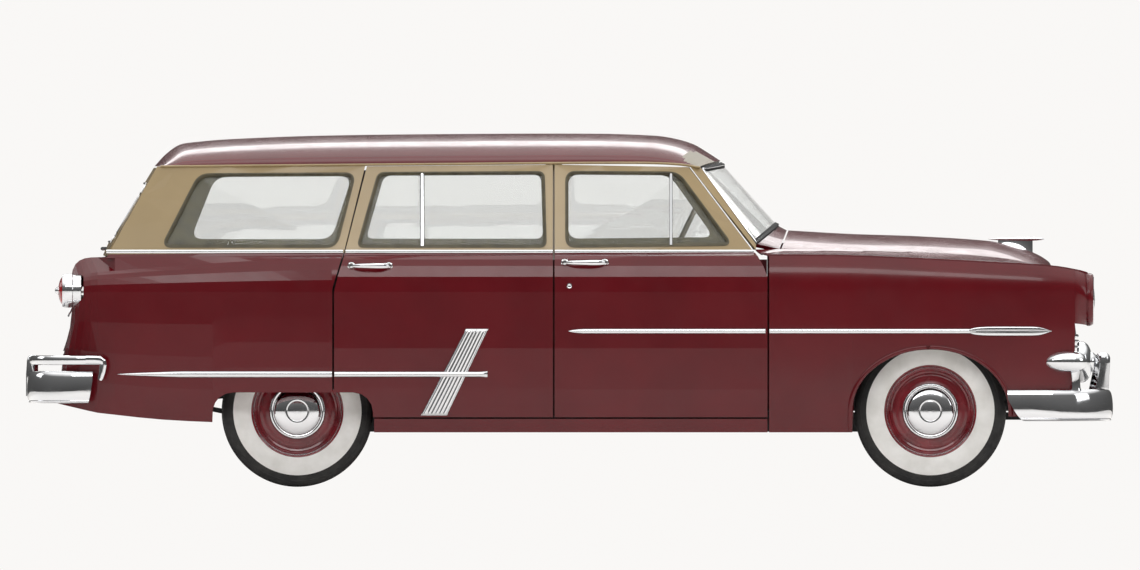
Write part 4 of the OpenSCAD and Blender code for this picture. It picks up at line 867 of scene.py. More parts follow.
POD_Y, BAR_Z = HALF - 0.073, 0.5765
PANEL_X = FENDER_END + 0.006


def face_x(y, z):
    rise = 0.06 * ((z - 0.745) / 0.093) ** 1.5 if z > 0.745 else 0
    return PANEL_X - 0.05 * abs(y / HALF) ** 4 - rise


def pod(side, name):
    profile = [(0.0001, -0.103)]
    for u in spread(24)[1:-1]:
        bulge = (1 - abs((u - 0.6) / 0.6) ** 2.3) ** 0.62 if u < 0.6 else (1 - ((u - 0.6) / 0.4) ** 2.4) ** 0.5
        profile.append((0.0515 * bulge, lerp(-0.103, 0.095, u)))
    profile.append((0.0001, 0.095))
    body = lathe(profile, (2.29, POD_Y, BAR_Z), "x", steps=56)
    neck = column([(2.334, POD_Y - 0.004, 0.444, 0.026, 0.02), (2.334, POD_Y - 0.004, 0.46, 0.0215, 0.0165),
                   (2.333, POD_Y - 0.003, 0.5, 0.02, 0.0155), (2.33, POD_Y - 0.002, 0.54, 0.024, 0.018)],
                  power=2.0)
    piece(name, joined(body, neck), CHROME, side=side)


def grille_bar():
    ys = spread(72, -POD_Y + 0.03, POD_Y - 0.03)
    path = [(face_x(y, BAR_Z) + 0.026, y, BAR_Z) for y in ys]

    def ring(k, t):
        x, y, z = path[k]
        tall = 0.046 - abs(y) / 65
        return [(x + 0.019 * cos(a), y, z + tall * abs(sin(a)) ** 0.85 * (1 if sin(a) > 0 else -1))
                for a in [2 * pi * i / 20 for i in range(20)]]
    bar = piece("grille_bar", swept(path, ring), CHROME)
    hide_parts("grille")
    dome = mm((0.1, 78), (14, 76.5), (26, 72), (36, 64), (43, 54), (47, 46), (47.5, 43), (53, 42.5), (66, 38),
              (80, 30), (90, 18), (95, 4), (95, -12), (85, -20), (0.1, -20))
    piece("grille_spinner", lathe(dome, (PANEL_X + 0.024, 0, BAR_Z), "x", steps=72), CHROME)
    mouth = loop([(-0.8, 0.452), (0.8, 0.452), (0.8, 0.698), (-0.8, 0.698)], 0.09, arc=10, straight=20)
    lip = [(face_x(p[0], p[1]) + 0.001, p[0], p[1]) for p in mouth]
    piece("grille_lip", swept(lip, mouth_section(lip, 0.015), closed_path=True), CHROME)
    slats = []
    slat_ring = ((-0.004, -0.006), (0.007, -0.005), (0.01, 0.0), (0.007, 0.005), (-0.004, 0.006))
    for z in (0.478, 0.506, 0.534, 0.619, 0.647, 0.674):
        rings = [[(face_x(y, z) + 0.004 + dx, y, z + dz) for dx, dz in slat_ring] for y in spread(40, -0.782, 0.782)]
        slats.append(stacked(rings))
    piece("grille_slats", joined(*slats), CHROME)


def mouth_section(path, width):
    middle = Vector((0, sum(p[1] for p in path) / len(path), sum(p[2] for p in path) / len(path)))

    def ring(k, t):
        p = Vector(path[k])
        a, b = Vector(path[k - 1]), Vector(path[(k + 1) % len(path)])
        along = (b - a).normalized()
        side = along.cross(Vector((1, 0, 0))).normalized()
        if side.dot(p - middle) < 0:
            side = -side
        return [p + side * width * u + Vector((h, 0, 0))
                for u, h in ((-0.5, 0), (-0.45, 0.006), (-0.2, 0.01), (0.2, 0.01), (0.45, 0.006), (0.5, 0))]
    return ring


both("grille_pod", pod)
grille_bar()


# ---- lamps ----
LAMP_STEPS = 96


def lens(at, radii, reach):
    """Round lens of rings about the x axis; reach(r, y) is how far it stands from at."""
    n = LAMP_STEPS
    points = [(at[0] + reach(r, r * c), at[1] + r * c, at[2] + r * s) for r in radii for c, s in ring_of(n)]
    faces = [(i * n + k, i * n + (k + 1) % n, (i + 1) * n + (k + 1) % n, (i + 1) * n + k)
             for i in range(len(radii) - 1) for k in range(n)]
    return points, faces


SHROUD = mm((100, -2), (120.8, 0), (122.2, 3), (122.6, 4.5), (120.5, 5.5), (122.2, 6.6), (122.2, 12), (119.5, 22),
            (114, 29), (110, 30), (106, 24), (100, 15))
LAMP_RING = mm((98.5, 14), (107, 25.5), (106.2, 30), (103.5, 32.5), (99.5, 31.5), (95.5, 26.5), (93.5, 20))
BEZEL = mm((66, 45), (73.5, 43), (73.8, 6), (77.5, 3), (78, -4), (77.5, -26), (74.5, -38), (71.5, -43), (68, -42.5),
           (66, -38), (66, -10))
KNOB = mm((0.1, -50), (20.5, -56), (20, -63), (16.5, -66), (15, -70), (11.5, -74.5), (6, -76.5), (0.1, -77))
HEAD_R, TAIL_R = 0.0965, 0.0668


def headlamp(side, name):
    at = (NOSE_X, side * LAMP_Y, LAMP_Z)
    obj = piece(f"{name}_shroud", lathe(SHROUD + SHROUD[:1], at, "x", steps=LAMP_STEPS), RED_PAINT)
    piece(f"{name}_ring", lathe(LAMP_RING + LAMP_RING[:1], at, "x", steps=LAMP_STEPS), CHROME)
    if side > 0:
        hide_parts("headlamps")

    def reach(r, y):
        flute = 0.0011 * (1 - abs(sin(y * 230))) * clamp((0.092 - r) / 0.02)
        return 0.0205 + 0.0155 * (1 - (r / HEAD_R) ** 2) + flute
    piece(f"{name}_lens", lens(at, [HEAD_R * sin(pi / 2 * u) for u in spread(20)], reach), LENS_CLEAR, merge=CLOSE)


def tail_lamp(side, name):
    at = (-2.3, side * 0.78, 0.905)
    obj = piece(f"{name}_bezel", lathe(BEZEL + BEZEL[:1], at, "x", steps=LAMP_STEPS), CHROME)
    if side > 0:
        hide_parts("tail_lamps")

    def reach(r, y):
        ring = 0.0012 * abs(sin(r * 420)) * (1 if r > 0.02 else 0)
        return -0.036 - 0.026 * (1 - min(r / TAIL_R, 1) ** 2) ** 0.5 + ring
    piece(f"{name}_lens", lens(at, spread(24, 0, TAIL_R), reach), LENS_RED, merge=CLOSE)
    piece(f"{name}_knob", lathe(KNOB, at, "x", steps=40), CHROME)


both("headlamp", headlamp)
both("tail_lamp", tail_lamp)


# ---- glass, seals and bright trim ----
def shield_point(t, v):
    s = abs(v)
    low = Vector((0.958 - 0.106 * s ** 2.2, (HALF - 0.143) * v, 1.206 - 0.089 * s ** 2.2))
    high = Vector((0.702 - 0.104 * s ** 2.2, (drip_y(0.6) - 0.016) * v, ROOF_H - 0.141 - 0.02 * s ** 2))
    return low.lerp(high, t)


def windshield():
    vs = spread(48, -0.975, 0.975)
    rows = [[tuple(shield_point(t, v)) for v in vs] for t in spread(14)]
    inner = [[(p[0] - 0.0046, p[1] * 0.999, p[2] - 0.0022) for p in row] for row in rows]
    obj = piece("windshield_glass", shell_mesh(rows, inner), GLASS, merge=COARSE)
    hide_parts("windshield")
    rim = [(0.012, v) for v in spread(48, -0.97, 0.97)] + [(t, 0.97) for t in spread(10)[1:-1]]
    rim += [(0.988, v) for v in spread(48, 0.97, -0.97)] + [(t, -0.97) for t in spread(10, 1, 0)[1:-1]]
    path = [shield_point(t, v) for t, v in rim]
    middle = shield_point(0.5, 0)

    def ring(width, rise):
        def section(k, t):
            p, a, b = path[k], path[k - 1], path[(k + 1) % len(path)]
            along = (b - a).normalized()
            out = Vector((0.82, 0.35 * p.y / 0.7, 0.56)).normalized()
            side = along.cross(out).normalized()
            if side.dot(p - middle) < 0:
                side = -side
            out = side.cross(along).normalized()
            if out.x < 0:
                out = -out
            return [p + side * width * u + out * rise * h for u, h in
                    ((-0.5, -0.6), (-0.5, 0.4), (-0.3, 1.0), (0.3, 1.0), (0.5, 0.4), (0.5, -0.6))]
        return section
    piece("windshield_seal", swept(path, ring(0.03, 0.005), closed_path=True), SEAL, merge=COARSE)
    piece("windshield_trim", swept(path, ring(0.014, 0.009), closed_path=True), CHROME)


windshield()

GLASS_LOW, GLASS_HIGH = 1.108, 1.452
WINDOWS = {
    "front": ([(-0.018, GLASS_LOW), (0.748, GLASS_LOW + 0.009), (0.5, GLASS_HIGH), (-0.018, GLASS_HIGH + 0.003)],
              0.045),
    "rear": ([(-0.981, GLASS_LOW), (-0.111, GLASS_LOW), (-0.12, GLASS_HIGH + 0.002), (-0.884, GLASS_HIGH - 0.002)],
             0.03),
    "quarter": ([(-1.885, GLASS_LOW), (-1.078, GLASS_LOW), (-0.99, GLASS_HIGH - 0.004),
                 (-1.712, GLASS_HIGH - 0.008)], 0.05)}


def window_ring(quad, r, width, top, bottom, lap=0.0):
    """Moulding round a window: width inwards from the opening's edge, between two depths below the skin."""
    path = loop([Vector(p) for p in quad], r, arc=8, straight=14)
    middle = sum((Vector(p) for p in quad), Vector((0, 0))) / 4

    def section(k, t):
        p = path[k]
        along = (path[(k + 1) % len(path)] - path[k - 1]).normalized()
        side = Vector((along.y, -along.x))
        if side.dot(middle - p) < 0:
            side = -side
        out = []
        for u, d in ((-lap, top), (width * 0.75, top), (width, top - (top - bottom) * 0.25), (width, bottom),
                     (-lap, bottom)):
            q = p + side * u
            out.append(on_glass(q.x, q.y, d))
        return out
    return swept(path, section, closed_path=True)


DOOR_BODY = {"front": "front_door", "rear": "rear_door", "quarter": None}
# How far the inner moulding reaches in from the opening, at each corner: (x, z)
GARNISH = {
    "front": ((0.01, 0.038), (-0.085, 0.036), (-0.04, -0.014), (0.01, -0.014)),
    "rear": ((0.04, 0.038), (-0.014, 0.038), (-0.014, -0.014), (0.026, -0.014)),
    "quarter": ((0.135, 0.036), (-0.022, 0.036), (-0.016, -0.014), (0.075, -0.014))}


def garnish(quad, reach, r):
    """Inner window moulding: a sloping band from the opening to a smaller one behind the glass."""
    outer = loop([Vector(p) + Vector((0.004 if k in (1, 2) else -0.004, 0.004 if k > 1 else -0.004))
                  for k, p in enumerate(quad)], r, arc=8, straight=14)
    inner = loop([Vector(p) + Vector(d) for p, d in zip(quad, reach)], r * 1.15, arc=8, straight=14)
    front = [[on_glass(*o.lerp(i, t), lerp(-0.0225, -0.03, t)) for t in (0, 0.1, 0.5, 0.9, 1)]
             for o, i in zip(outer, inner)]
    back = [[(p[0], p[1] - 0.0035, p[2]) for p in row] for row in front]
    return shell_mesh(front, back, ring=True)


for key, (quad, r) in WINDOWS.items():
    for word, side in SIDES:
        body = f"{word}_{DOOR_BODY[key]}" if DOOR_BODY[key] else "car_body"
        for label, shape in (("window_seal", window_ring(quad, r, 0.011, -0.004, -0.0135)),
                             ("garnish", garnish(quad, GARNISH[key], r)),
                             ("window_bead", window_ring(quad, r, 0.0035, 0.0022, -0.005, lap=0.004))):
            piece(f"{word}_{key}_{label}", shape, REVEAL, body, side=side)


def bar_trim(x, low, high, width):
    zs = spread(16, low, high)
    return strip([on_glass(x, z, -0.006) for z in zs], [(0, 1, 0)] * 17, width, 0.006, up=(1, 0, 0), sides=6)


def side_strip(x0, x1, z, width, height, at=on_side, steps=40):
    xs = spread(steps, x0, x1)
    return strip([at(x, z, 0.0) for x in xs], [(0, 1, 0)] * len(xs), width, height)


SPEAR_Z, REAR_SPEAR_Z, STRIP_Z = 0.719, 0.52, 1.0855
ROSE_PROFILE = mm((0.1, 16), (10, 15.5), (12.5, 12), (13.5, 4), (17, 2.5), (17.5, 0), (0.1, -3))
LOCK_PROFILE = mm((0.1, 3.5), (6, 3.5), (8.5, 4.5), (11.5, 3.8), (13.5, 0), (0.1, -2))
QUARTER_EDGE = mm((252, -1089), (917, -1089), (1065, -1043), (1110, -1031), (1470, -937))


def tapered(size, rate, power=0.5, from_end=False):
    """Strip size that rises from a point at its start, or at its end."""
    return lambda t: size * clamp((1 - t if from_end else t) * rate) ** power + 0.0005


def plaque():
    """Blank plaque at the front of the spear."""
    rows = []
    for u in spread(48):
        half = 0.0225 * clamp((1 - abs(2 * u - 1) ** 5)) ** 0.5
        if u >= 0.82:
            half *= max(1 - ((u - 0.82) / 0.18) ** 1.6, 0) ** 0.7
        half = max(half, 0.0012)
        rows.append([on_side(lerp(1.838, 2.224, u), SPEAR_Z + half * w,
                             0.0085 * (1 - abs(w) ** 6) ** 0.5 + 0.0003 * abs(w)) for w in spread(16, -1, 1)])
    return laid_on(rows, 0.002, side_y)


def stone_shield():
    """Ribbed stone shield on the rear door."""
    corners = [Vector((-0.69, 0.33)), Vector((-0.566, 0.33)), Vector((-0.376, 0.729)), Vector((-0.482, 0.729))]
    rows = []
    for v in spread(44):
        row = []
        for u in spread(60):
            p = corners[0].lerp(corners[1], u).lerp(corners[3].lerp(corners[2], u), v)
            edge = clamp(min(u, 1 - u) * 22) ** 0.5 * clamp(min(v, 1 - v) * 40) ** 0.5
            rib = 0.004 * abs(sin(pi * 6 * (u - 0.06) / 0.88)) ** 0.7 if 0.06 < u < 0.94 else 0.004
            row.append(on_side(p.x, p.y, 0.0005 + (0.0045 + rib) * edge))
        rows.append(row)
    return laid_on(rows, 0.002, side_y)


def pull(x0, x1, z):
    """Bow of a door handle."""
    rings = []
    for x in spread(44, x0, x1):
        t = (x - x0) / (x1 - x0)
        lift = 0.034 * (1 - abs(2 * t - 1) ** 3.5)
        thick = 0.0055 + 0.0025 * (1 - abs(2 * t - 1) ** 2)
        tall = lerp(0.0085, 0.0125, clamp(t * 1.6)) * (1 - 0.25 * abs(2 * t - 1) ** 6)
        rings.append([(x, side_y(x, z) + lift + thick * c - 0.001, z + tall * s) for c, s in ring_of(16)])
    return stacked(rings)


def arch_lip():
    """Rolled lip of the front wheel opening."""
    reach = FRONT_ARCH + 0.0105
    lip = [(FRONT_X - reach, z) for z in spread(5, 0.256, 0.345)]
    lip += [(FRONT_X - reach * cos(radians(a)), TYRE_R + 0.2945 * sin(radians(a))) for a in spread(60, 0, 180)]
    lip += [(FRONT_X + reach, z) for z in spread(2, 0.345, 0.329)]
    return strip([on_side(x, z, -0.001) for x, z in lip], [(0, 1, 0)] * len(lip), 0.021, 0.008, up=(1, 0, 0.001))


def gutter():
    xs = spread(80, -1.89, 0.6)
    return strip([(x, drip_y(x) + 0.0005, drip(x) - 0.001) for x in xs], [(0, 1, 0.1)] * len(xs), 0.011, 0.01)


def quarter_corner():
    """Corner of the quarter that follows the door up to the belt."""
    rows = []
    for z in spread(24, 0.905, 1.07):
        edge = max(line(QUARTER_EDGE[1:3], z) - SHUT_GAP, -1.0975)
        rows.append([on_side(x, z, -0.0003) for x in spread(6, -1.0995, edge)])
    return laid_on(rows, 0.03)


def door_seal():
    """Dark seal behind the gap between the rear door and the quarter."""
    rows = []
    for z in spread(40, 0.45, 1.462):
        x = line(QUARTER_EDGE, z)
        deep = lerp(0.0665, 0.0375, clamp((z - 0.995) / 0.06))
        rows.append([(x + d, (side_y(x, z) if z < belt(x) else glass_y(x, z)) - deep, z)
                     for d in (-0.052, -0.02, 0.006)])
    return laid_on(rows, 0.003)


def side_trim(side, word):
    """Mouldings, handles and seals of one side, each on the body that carries it."""
    rear, front = f"{word}_rear_door", f"{word}_front_door"
    trim = [
        ("belt_strip_quarter", side_strip(-2.14, -1.0475, STRIP_Z, 0.019, 0.006, on_glass, 60), "car_body"),
        ("belt_strip_rear_door", side_strip(-1.0355, -0.0805, STRIP_Z, 0.019, 0.006, on_glass, 50), rear),
        ("belt_strip_front_door", side_strip(-0.0695, 0.848, STRIP_Z, 0.019, 0.006, on_glass, 50), front),
        ("front_spear_door", side_strip(-0.007, 0.9015, SPEAR_Z, tapered(0.023, 14), tapered(0.009, 14)), front),
        ("front_spear_fender", side_strip(0.9205, 1.874, SPEAR_Z, 0.023, 0.009, steps=60), "car_body"),
        ("rear_spear_quarter", side_strip(-2.089, -1.0985, REAR_SPEAR_Z, tapered(0.03, 3.4, 0.7),
                                          tapered(0.011, 3.4, 0.7), steps=70), "car_body"),
        ("rear_spear_door", side_strip(-1.0875, -0.381, REAR_SPEAR_Z, 0.028,
                                       tapered(0.014, 30, from_end=True)), rear),
        ("vent_bar_trim", bar_trim(0.466, GLASS_LOW + 0.01, GLASS_HIGH - 0.002, 0.015), front),
        ("rear_bar_trim", bar_trim(-0.682, GLASS_LOW + 0.006, GLASS_HIGH - 0.003, 0.021), rear),
        ("spear_plaque", plaque(), "car_body"), ("stone_shield", stone_shield(), rear)]
    for label, x0, x1, z, body in (("front_handle", -0.03, 0.173, 1.035, front),
                                   ("rear_handle", -1.015, -0.824, 1.02, rear)):
        trim.append((label, pull(x0, x1, z), body))
        for n, x in (("foot", x0 + 0.006), ("button", x1 - 0.012)):
            trim.append((f"{label}_{n}", lathe(ROSE_PROFILE, (x, side_y(x, z), z), steps=36), body))
    trim.append(("door_lock", lathe(LOCK_PROFILE, (-0.003, side_y(-0.003, 0.928), 0.928), steps=36), front))
    for label, shape, body in trim:
        piece(f"{word}_{label}", shape, CHROME, body, side=side)
    piece(f"{word}_arch_lip", arch_lip(), RED_PAINT, side=side)
    piece(f"{word}_gutter", gutter(), TAN_PAINT, side=side)
    piece(f"{word}_quarter_corner", quarter_corner(), RED_PAINT, side=side, merge=COARSE)
    piece(f"{word}_door_seal", door_seal(), SEAL, side=side)


for word, side in SIDES:
    side_trim(side, word)


def ornament():
    """Plain dart on a low fin at the front of the hood."""
    stations = mm((1930, 1.5), (1945, 4), (1975, 7.5), (2020, 10.5), (2070, 12), (2120, 12), (2155, 9.5), (2178, 6),
                  (2190, 2.5), (2193, 0.4))
    dart = [[(x, 0.85 * r * c, 1.1445 + 0.75 * r * s) for c, s in ring_of(20)] for x, r in stations]
    fin = []
    for x in spread(14, 1.975, 2.135):
        t = (x - 1.975) / 0.16
        w = 0.0055 * (1 - (2 * t - 1) ** 2) + 0.0006
        low = hood_centre(x) - 0.004
        fin.append([(x, -w * 1.9, low), (x, w * 1.9, low), (x, w, low + 0.01), (x, w * 0.7, 1.142),
                    (x, -w * 0.7, 1.142), (x, -w, low + 0.01)])
    piece("hood_ornament", joined(stacked(dart), stacked(fin)), CHROME, "hood")


def hood_centre(x):
    """Height of the hood's middle at x, by halving."""
    low, high = 0.0, 1.0
    for _ in range(40):
        middle = (low + high) / 2
        if curve(HOOD_X, middle) < x:
            low = middle
        else:
            high = middle
    return curve(HOOD_Z, (low + high) / 2)


ornament()


# ---- seats ----
def tube(path, r, closed=False, sides=10):
    """Round cord along a path."""
    n = len(path)

    def section(k, t):
        p = Vector(path[k])
        a = Vector(path[k - 1 if closed or k else 0])
        b = Vector(path[(k + 1) % n if closed else min(k + 1, n - 1)])
        along = (b - a).normalized()
        guide = Vector((0, 0, 1)) if abs(along.z) < 0.8 else Vector((1, 0, 0))
        side = along.cross(guide).normalized()
        up = side.cross(along)
        return [p + side * r * c + up * r * s for c, s in ring_of(sides)]
    return swept(path, section, closed_path=closed)


# No point moves further than this when the cushion is filled
PUFF_CAP = 0.014
SIM_STATIONS, SIM_FRAMES, SIM_PRESSURE = 40, 20, 4
# The foot of a cushion is held up to this height
PIN_H = 0.012


def puffed(rings, pinned):
    """How far each point of a closed tube of rings moves when it is filled, by cloth simulation."""
    points, faces = stacked(rings)
    mesh = bpy.data.meshes.new("fill")
    mesh.from_pydata([tuple(p) for p in points], [], faces)
    obj = bpy.data.objects.new("fill", mesh)
    bpy.context.scene.collection.objects.link(obj)
    group = obj.vertex_groups.new(name="pin")
    group.add([i for i in range(len(points)) if pinned(points[i])], 1.0, "REPLACE")
    cloth_mod = obj.modifiers.new("fill", "CLOTH")
    settings = cloth_mod.settings
    settings.use_pressure = True
    settings.uniform_pressure_force = SIM_PRESSURE
    settings.effector_weights.gravity = 0
    settings.vertex_group_mass = "pin"
    settings.quality = 5
    cloth_mod.point_cache.frame_end = SIM_FRAMES
    scene = bpy.context.scene
    for frame_number in range(1, SIM_FRAMES + 1):
        scene.frame_set(frame_number)
    done = obj.evaluated_get(bpy.context.evaluated_depsgraph_get())
    moves = []
    for vert, start in zip(done.data.vertices, points):
        move = vert.co - Vector(start)
        moves.append(move * min(1, PUFF_CAP / max(move.length, 1e-9)))
    bpy.data.objects.remove(obj)
    scene.frame_set(1)
    n = len(rings[0])
    return [moves[k * n:(k + 1) * n] for k in range(len(rings))]


END_R, END_SAG = 0.045, 0.12
PLEAT = 0.115
PIPING_R = 0.0042


def cushion(name, quad, half, r, top_from, top_to):
    """Padded cushion: an (x, z) section swept across the car, filled, then sewn in channels."""
    base = [(p.x, p.y) for p in loop([Vector(p) for p in quad], r, arc=7, straight=9)]
    centre = Vector((sum(p[0] for p in base) / len(base), sum(p[1] for p in base) / len(base)))
    count = len(base)

    def ring(y):
        over = clamp((abs(y) - (half - END_R)) / END_R)
        inset = END_R * 0.9 * (1 - sqrt(max(1 - over ** 2, 0)))
        sag = 0.004 * sin(pi * clamp((half - abs(y)) / END_SAG)) if abs(y) > half - END_SAG else 0
        out = []
        for x, z in base:
            d = Vector((x, z)) - centre
            q = centre + d * max(1 - (inset + sag) / max(d.length, 0.03), 0.12)
            out.append((q.x, y, q.y))
        return out
    low = min(p[1] for p in quad)
    coarse = [half * sin(radians(a)) / sin(radians(86)) for a in spread(SIM_STATIONS, -86, 86)]
    moves = puffed([ring(y) for y in coarse], lambda p: p[2] < low + PIN_H)
    fine = sorted(set(spread(int(half / 0.0032), -half, half)))
    tracks = [[[(y, moves[j][k][axis]) for j, y in enumerate(coarse)] for axis in range(3)] for k in range(count)]
    rows = []
    for y in fine:
        here = ring(y)
        row = []
        for k in range(count):
            p = Vector(here[k]) + Vector([curve(tracks[k][axis], y) for axis in range(3)])
            before, after = Vector(base[k - 1]), Vector(base[(k + 1) % count])
            t = k / count
            inside = clamp((t - top_from) / 0.03) * clamp((top_to - t) / 0.03) * clamp((half - 0.055 - abs(y)) / 0.02)
            phase = abs(((y / PLEAT) + 0.5) % 1 - 0.5) * PLEAT
            groove = 0.0075 * exp(-(phase / 0.0065) ** 2) - 0.003 * (phase / (PLEAT / 2)) ** 0.6
            out = Vector((after.y - before.y, before.x - after.x)).normalized()
            if out.dot(Vector(base[k]) - centre) < 0:
                out = -out
            p += Vector((out.x, 0, out.y)) * (-groove * inside)
            row.append(tuple(p))
        rows.append(row)
    obj = piece(name, stacked(rows), GREEN_CLOTH)
    cords = []
    for edge in (half - 0.05, -half + 0.05):
        j = min(range(len(fine)), key=lambda i: abs(fine[i] - edge))
        hub = Vector((centre.x, fine[j], centre.y))
        cords.append(tube([Vector(p) + (Vector(p) - hub).normalized() * 0.0015 for p in rows[j]], PIPING_R,
                          closed=True, sides=8))
    for edge_t in (top_from, top_to):
        k = int(edge_t * count) % count
        cords.append(tube([rows[j][k] for j in range(6, len(rows) - 6, 3)], PIPING_R, sides=8))
    piece(f"{name}_piping", joined(*cords), GREEN_VINYL)
    return obj


def seat_base(name, x0, x1, half, z0, z1):
    """Upholstered plinth under a bench, toed in at its foot."""
    rings = []
    for y in (-half, -half + 0.004, -half + 0.012, half - 0.012, half - 0.004, half):
        inset = 0.008 if abs(y) == half else (0.002 if abs(y) > half - 0.005 else 0)
        quad = [Vector((x0 + 0.02 + inset, z0)), Vector((x1 - 0.02 - inset, z0)), Vector((x1 - inset, z1)),
                Vector((x0 + inset, z1))]
        rings.append([(p.x, y, p.y) for p in loop(quad, 0.012, arc=5, straight=3)])
    piece(name, stacked(rings), GREEN_VINYL)


# Room left round a cushion for its filling
PAD = 0.014
# Front and rear x, floor, seat height, top of the back: x and z, width
BENCHES = {
    "front_bench": (-0.19, 0.42, 0.36, 0.64, -0.255, 1.05, 1.4),
    "middle_bench": (-0.85, -0.422, 0.36, 0.65, -0.94, 1.04, 1.39),
    "rear_bench": (-1.78, -1.34, 0.65, 0.86, -1.84, 1.04, 1.142)}
for name, (x0, x1, low, seat, back_x, back_top, wide_y) in BENCHES.items():
    half = wide_y / 2
    seat_obj = cushion(f"{name}_seat", [(x0 + 0.032 + PAD, seat - 0.15), (x1 - PAD, seat - 0.148),
                                        (x1 - PAD, seat - PAD - 0.012), (x0 + 0.032 + PAD, seat - PAD)],
                       half - PAD, 0.045, 0.52, 0.98)
    foot = seat - 0.055
    cushion(f"{name}_back", [(x0 + 0.04, foot), (x0 + 0.15, foot), (back_x + 0.104, back_top - PAD),
                             (back_x + 0.006 + PAD * 0.5, back_top - PAD)], half - PAD, 0.034, 0.25, 0.6)
    seat_base(f"{name}_plinth", x0 + 0.062, x1 - 0.062, half - 0.082, low + 0.001, seat - 0.146)
    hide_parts(name)


# ---- door cards, dashboard and tail furniture ----
CARD_TOP, CARD_PAD_TOP = 1.04, 0.78
CRANK = mm((0.1, 2), (17, 0), (16, -8), (9, -12), (8, -22), (0.1, -24))


def card(x0, x1, z0):
    """Inner panel of a door, pleated below."""
    rows, back = [], []
    for z in spread(70, z0, CARD_TOP):
        deep = lerp(0.0622, 0.034, clamp((z - 1.0) / 0.06))
        row = []
        for x in spread(26, x0, x1):
            edge = clamp(min(x - x0, x1 - x) * 60) ** 0.5 * clamp(min(z - z0, CARD_TOP - z) * 60) ** 0.5
            pleat = 0.0025 * abs(sin(pi * (z - z0) / 0.05)) ** 0.5 if z < CARD_PAD_TOP else 0.0015
            row.append((x, side_y(x, z) - deep - 0.0012 - (0.003 + pleat) * edge, z))
        rows.append(row)
        back.append([(p[0], side_y(p[0], p[2]) - deep + 0.001, p[2]) for p in row])
    return shell_mesh(rows, back)


def armrest(middle):
    y_in = side_y(middle, 0.8) - 0.066
    rings = []
    for x in spread(24, middle - 0.17, middle + 0.13):
        t = (x - middle + 0.17) / 0.3
        w = 0.042 * clamp(1 - abs(2 * t - 1) ** 4) ** 0.5 + 0.001
        rings.append([(x, y_in - w * max(0, c) ** 0.6 * (c > 0), 0.8 + 0.021 * s) for c, s in ring_of(20)])
    return stacked(rings)


def door_cranks(middle):
    parts = []
    for x, z, reach in ((middle + 0.2, 0.9, 0.085), (middle - 0.16, 0.93, 0.07)):
        y = side_y(x, z) - 0.064
        parts.append(lathe(CRANK, (x, y, z), steps=24))
        parts.append(tube([(x, y - 0.019, z), (x - reach * 0.5, y - 0.022, z - 0.012),
                           (x - reach, y - 0.024, z - 0.018)], 0.0045))
    return joined(*parts)


for word, side in SIDES:
    for key, x0, x1, z0 in (("front", -0.045, 0.8, 0.4), ("rear", -0.88, -0.16, 0.47)):
        body, middle = f"{word}_{key}_door", (x0 + x1) / 2
        piece(f"{word}_{key}_door_card", card(x0, x1, z0), GREEN_VINYL, body, side=side)
        piece(f"{word}_{key}_armrest", armrest(middle), GREEN_VINYL, body, side=side, merge=CLOSE)
        piece(f"{word}_{key}_door_crank", door_cranks(middle), CHROME, body, side=side)


GAUGE = (0.676, 0.37, 1.0)
GAUGE_RING = mm((62, 0), (66, -4), (65, -10), (60, -12), (56, -6), (56, 0))
GAUGE_FACE = mm((0.1, -3.5), (30, -3.2), (56.5, -2.5), (56.5, 2), (0.1, 2))
DASH_KNOB = mm((0.1, 4), (7, 4), (7, -10), (14, -13), (14.5, -20), (10, -24), (0.1, -25))


def dials():
    """Round gauge with plain tick marks, speaker bars and knobs."""
    piece("gauge_face", lathe(GAUGE_FACE, GAUGE, "x", steps=64), SEAL)

    def mark(forward, y, z, r0, r1, r):
        return tube([(GAUGE[0] - forward, GAUGE[1] + d * y, GAUGE[2] + d * z) for d in (r0, r1)], r, sides=6)
    ticks = []
    for k in range(21):
        a = radians(-30 + 12 * k)
        ticks.append(mark(0.0045, cos(a), sin(a), 0.047 if k % 5 else 0.043, 0.053, 0.0008))
    ticks.append(mark(0.0055, 0.5, 0.866, -0.008, 0.04, 0.0012))
    piece("gauge_ticks", joined(*ticks), IVORY)
    fittings = [lathe(GAUGE_RING + GAUGE_RING[:1], GAUGE, "x", steps=64)]
    for k in range(9):
        y = -0.1 + 0.02 * k
        fittings.append(tube([(0.6755, y, 0.965), (0.6715, y, 0.985), (0.67, y, 1.035)], 0.004, sides=8))
    fittings += [lathe(DASH_KNOB, (0.68, y, 0.975), "x", steps=28) for y in (0.2, 0.16, -0.16, -0.2, -0.42)]
    piece("dash_fittings", joined(*fittings), CHROME)


dials()


# ---- tailgate and liftgate ----
GATE_LINE = mm((300, -2370), (609, -2346), (796, -2284), (1004, -2182), (1062, -2157), (1092, -2152), (1480, -1917))


def gate_x(z, y):
    return line(GATE_LINE, z) + 0.02 * (y / 0.7) ** 2


def gate_half(z):
    return lerp(0.7, drip_y(-1.9) - 0.054, (z - 1.062) / (1.48 - 1.062))


GATE_N = Vector((-0.855, 0, 0.518))


HANDLE_ROSE = mm((0.1, 4), (20, 2), (19, -4), (12, -7), (10, -26), (0.1, -28))
PLATE_Z = 0.865


def ahead(rows, t):
    """The grid moved forward by t."""
    return [[(p[0] + t, p[1], p[2]) for p in row] for row in rows]


def plate_x(z):
    return gate_x(PLATE_Z, 0) + (PLATE_Z - z) * -0.45


def valance():
    """Body panel between the tailgate and the rear bumper."""
    rows = [[(gate_x(z, y) + 0.006, y, z) for y in spread(24, -0.694, 0.694)] for z in spread(12, 0.392, 0.615)]
    piece("rear_valance", shell_mesh(rows, ahead(rows, 0.004)), RED_PAINT, merge=COARSE)


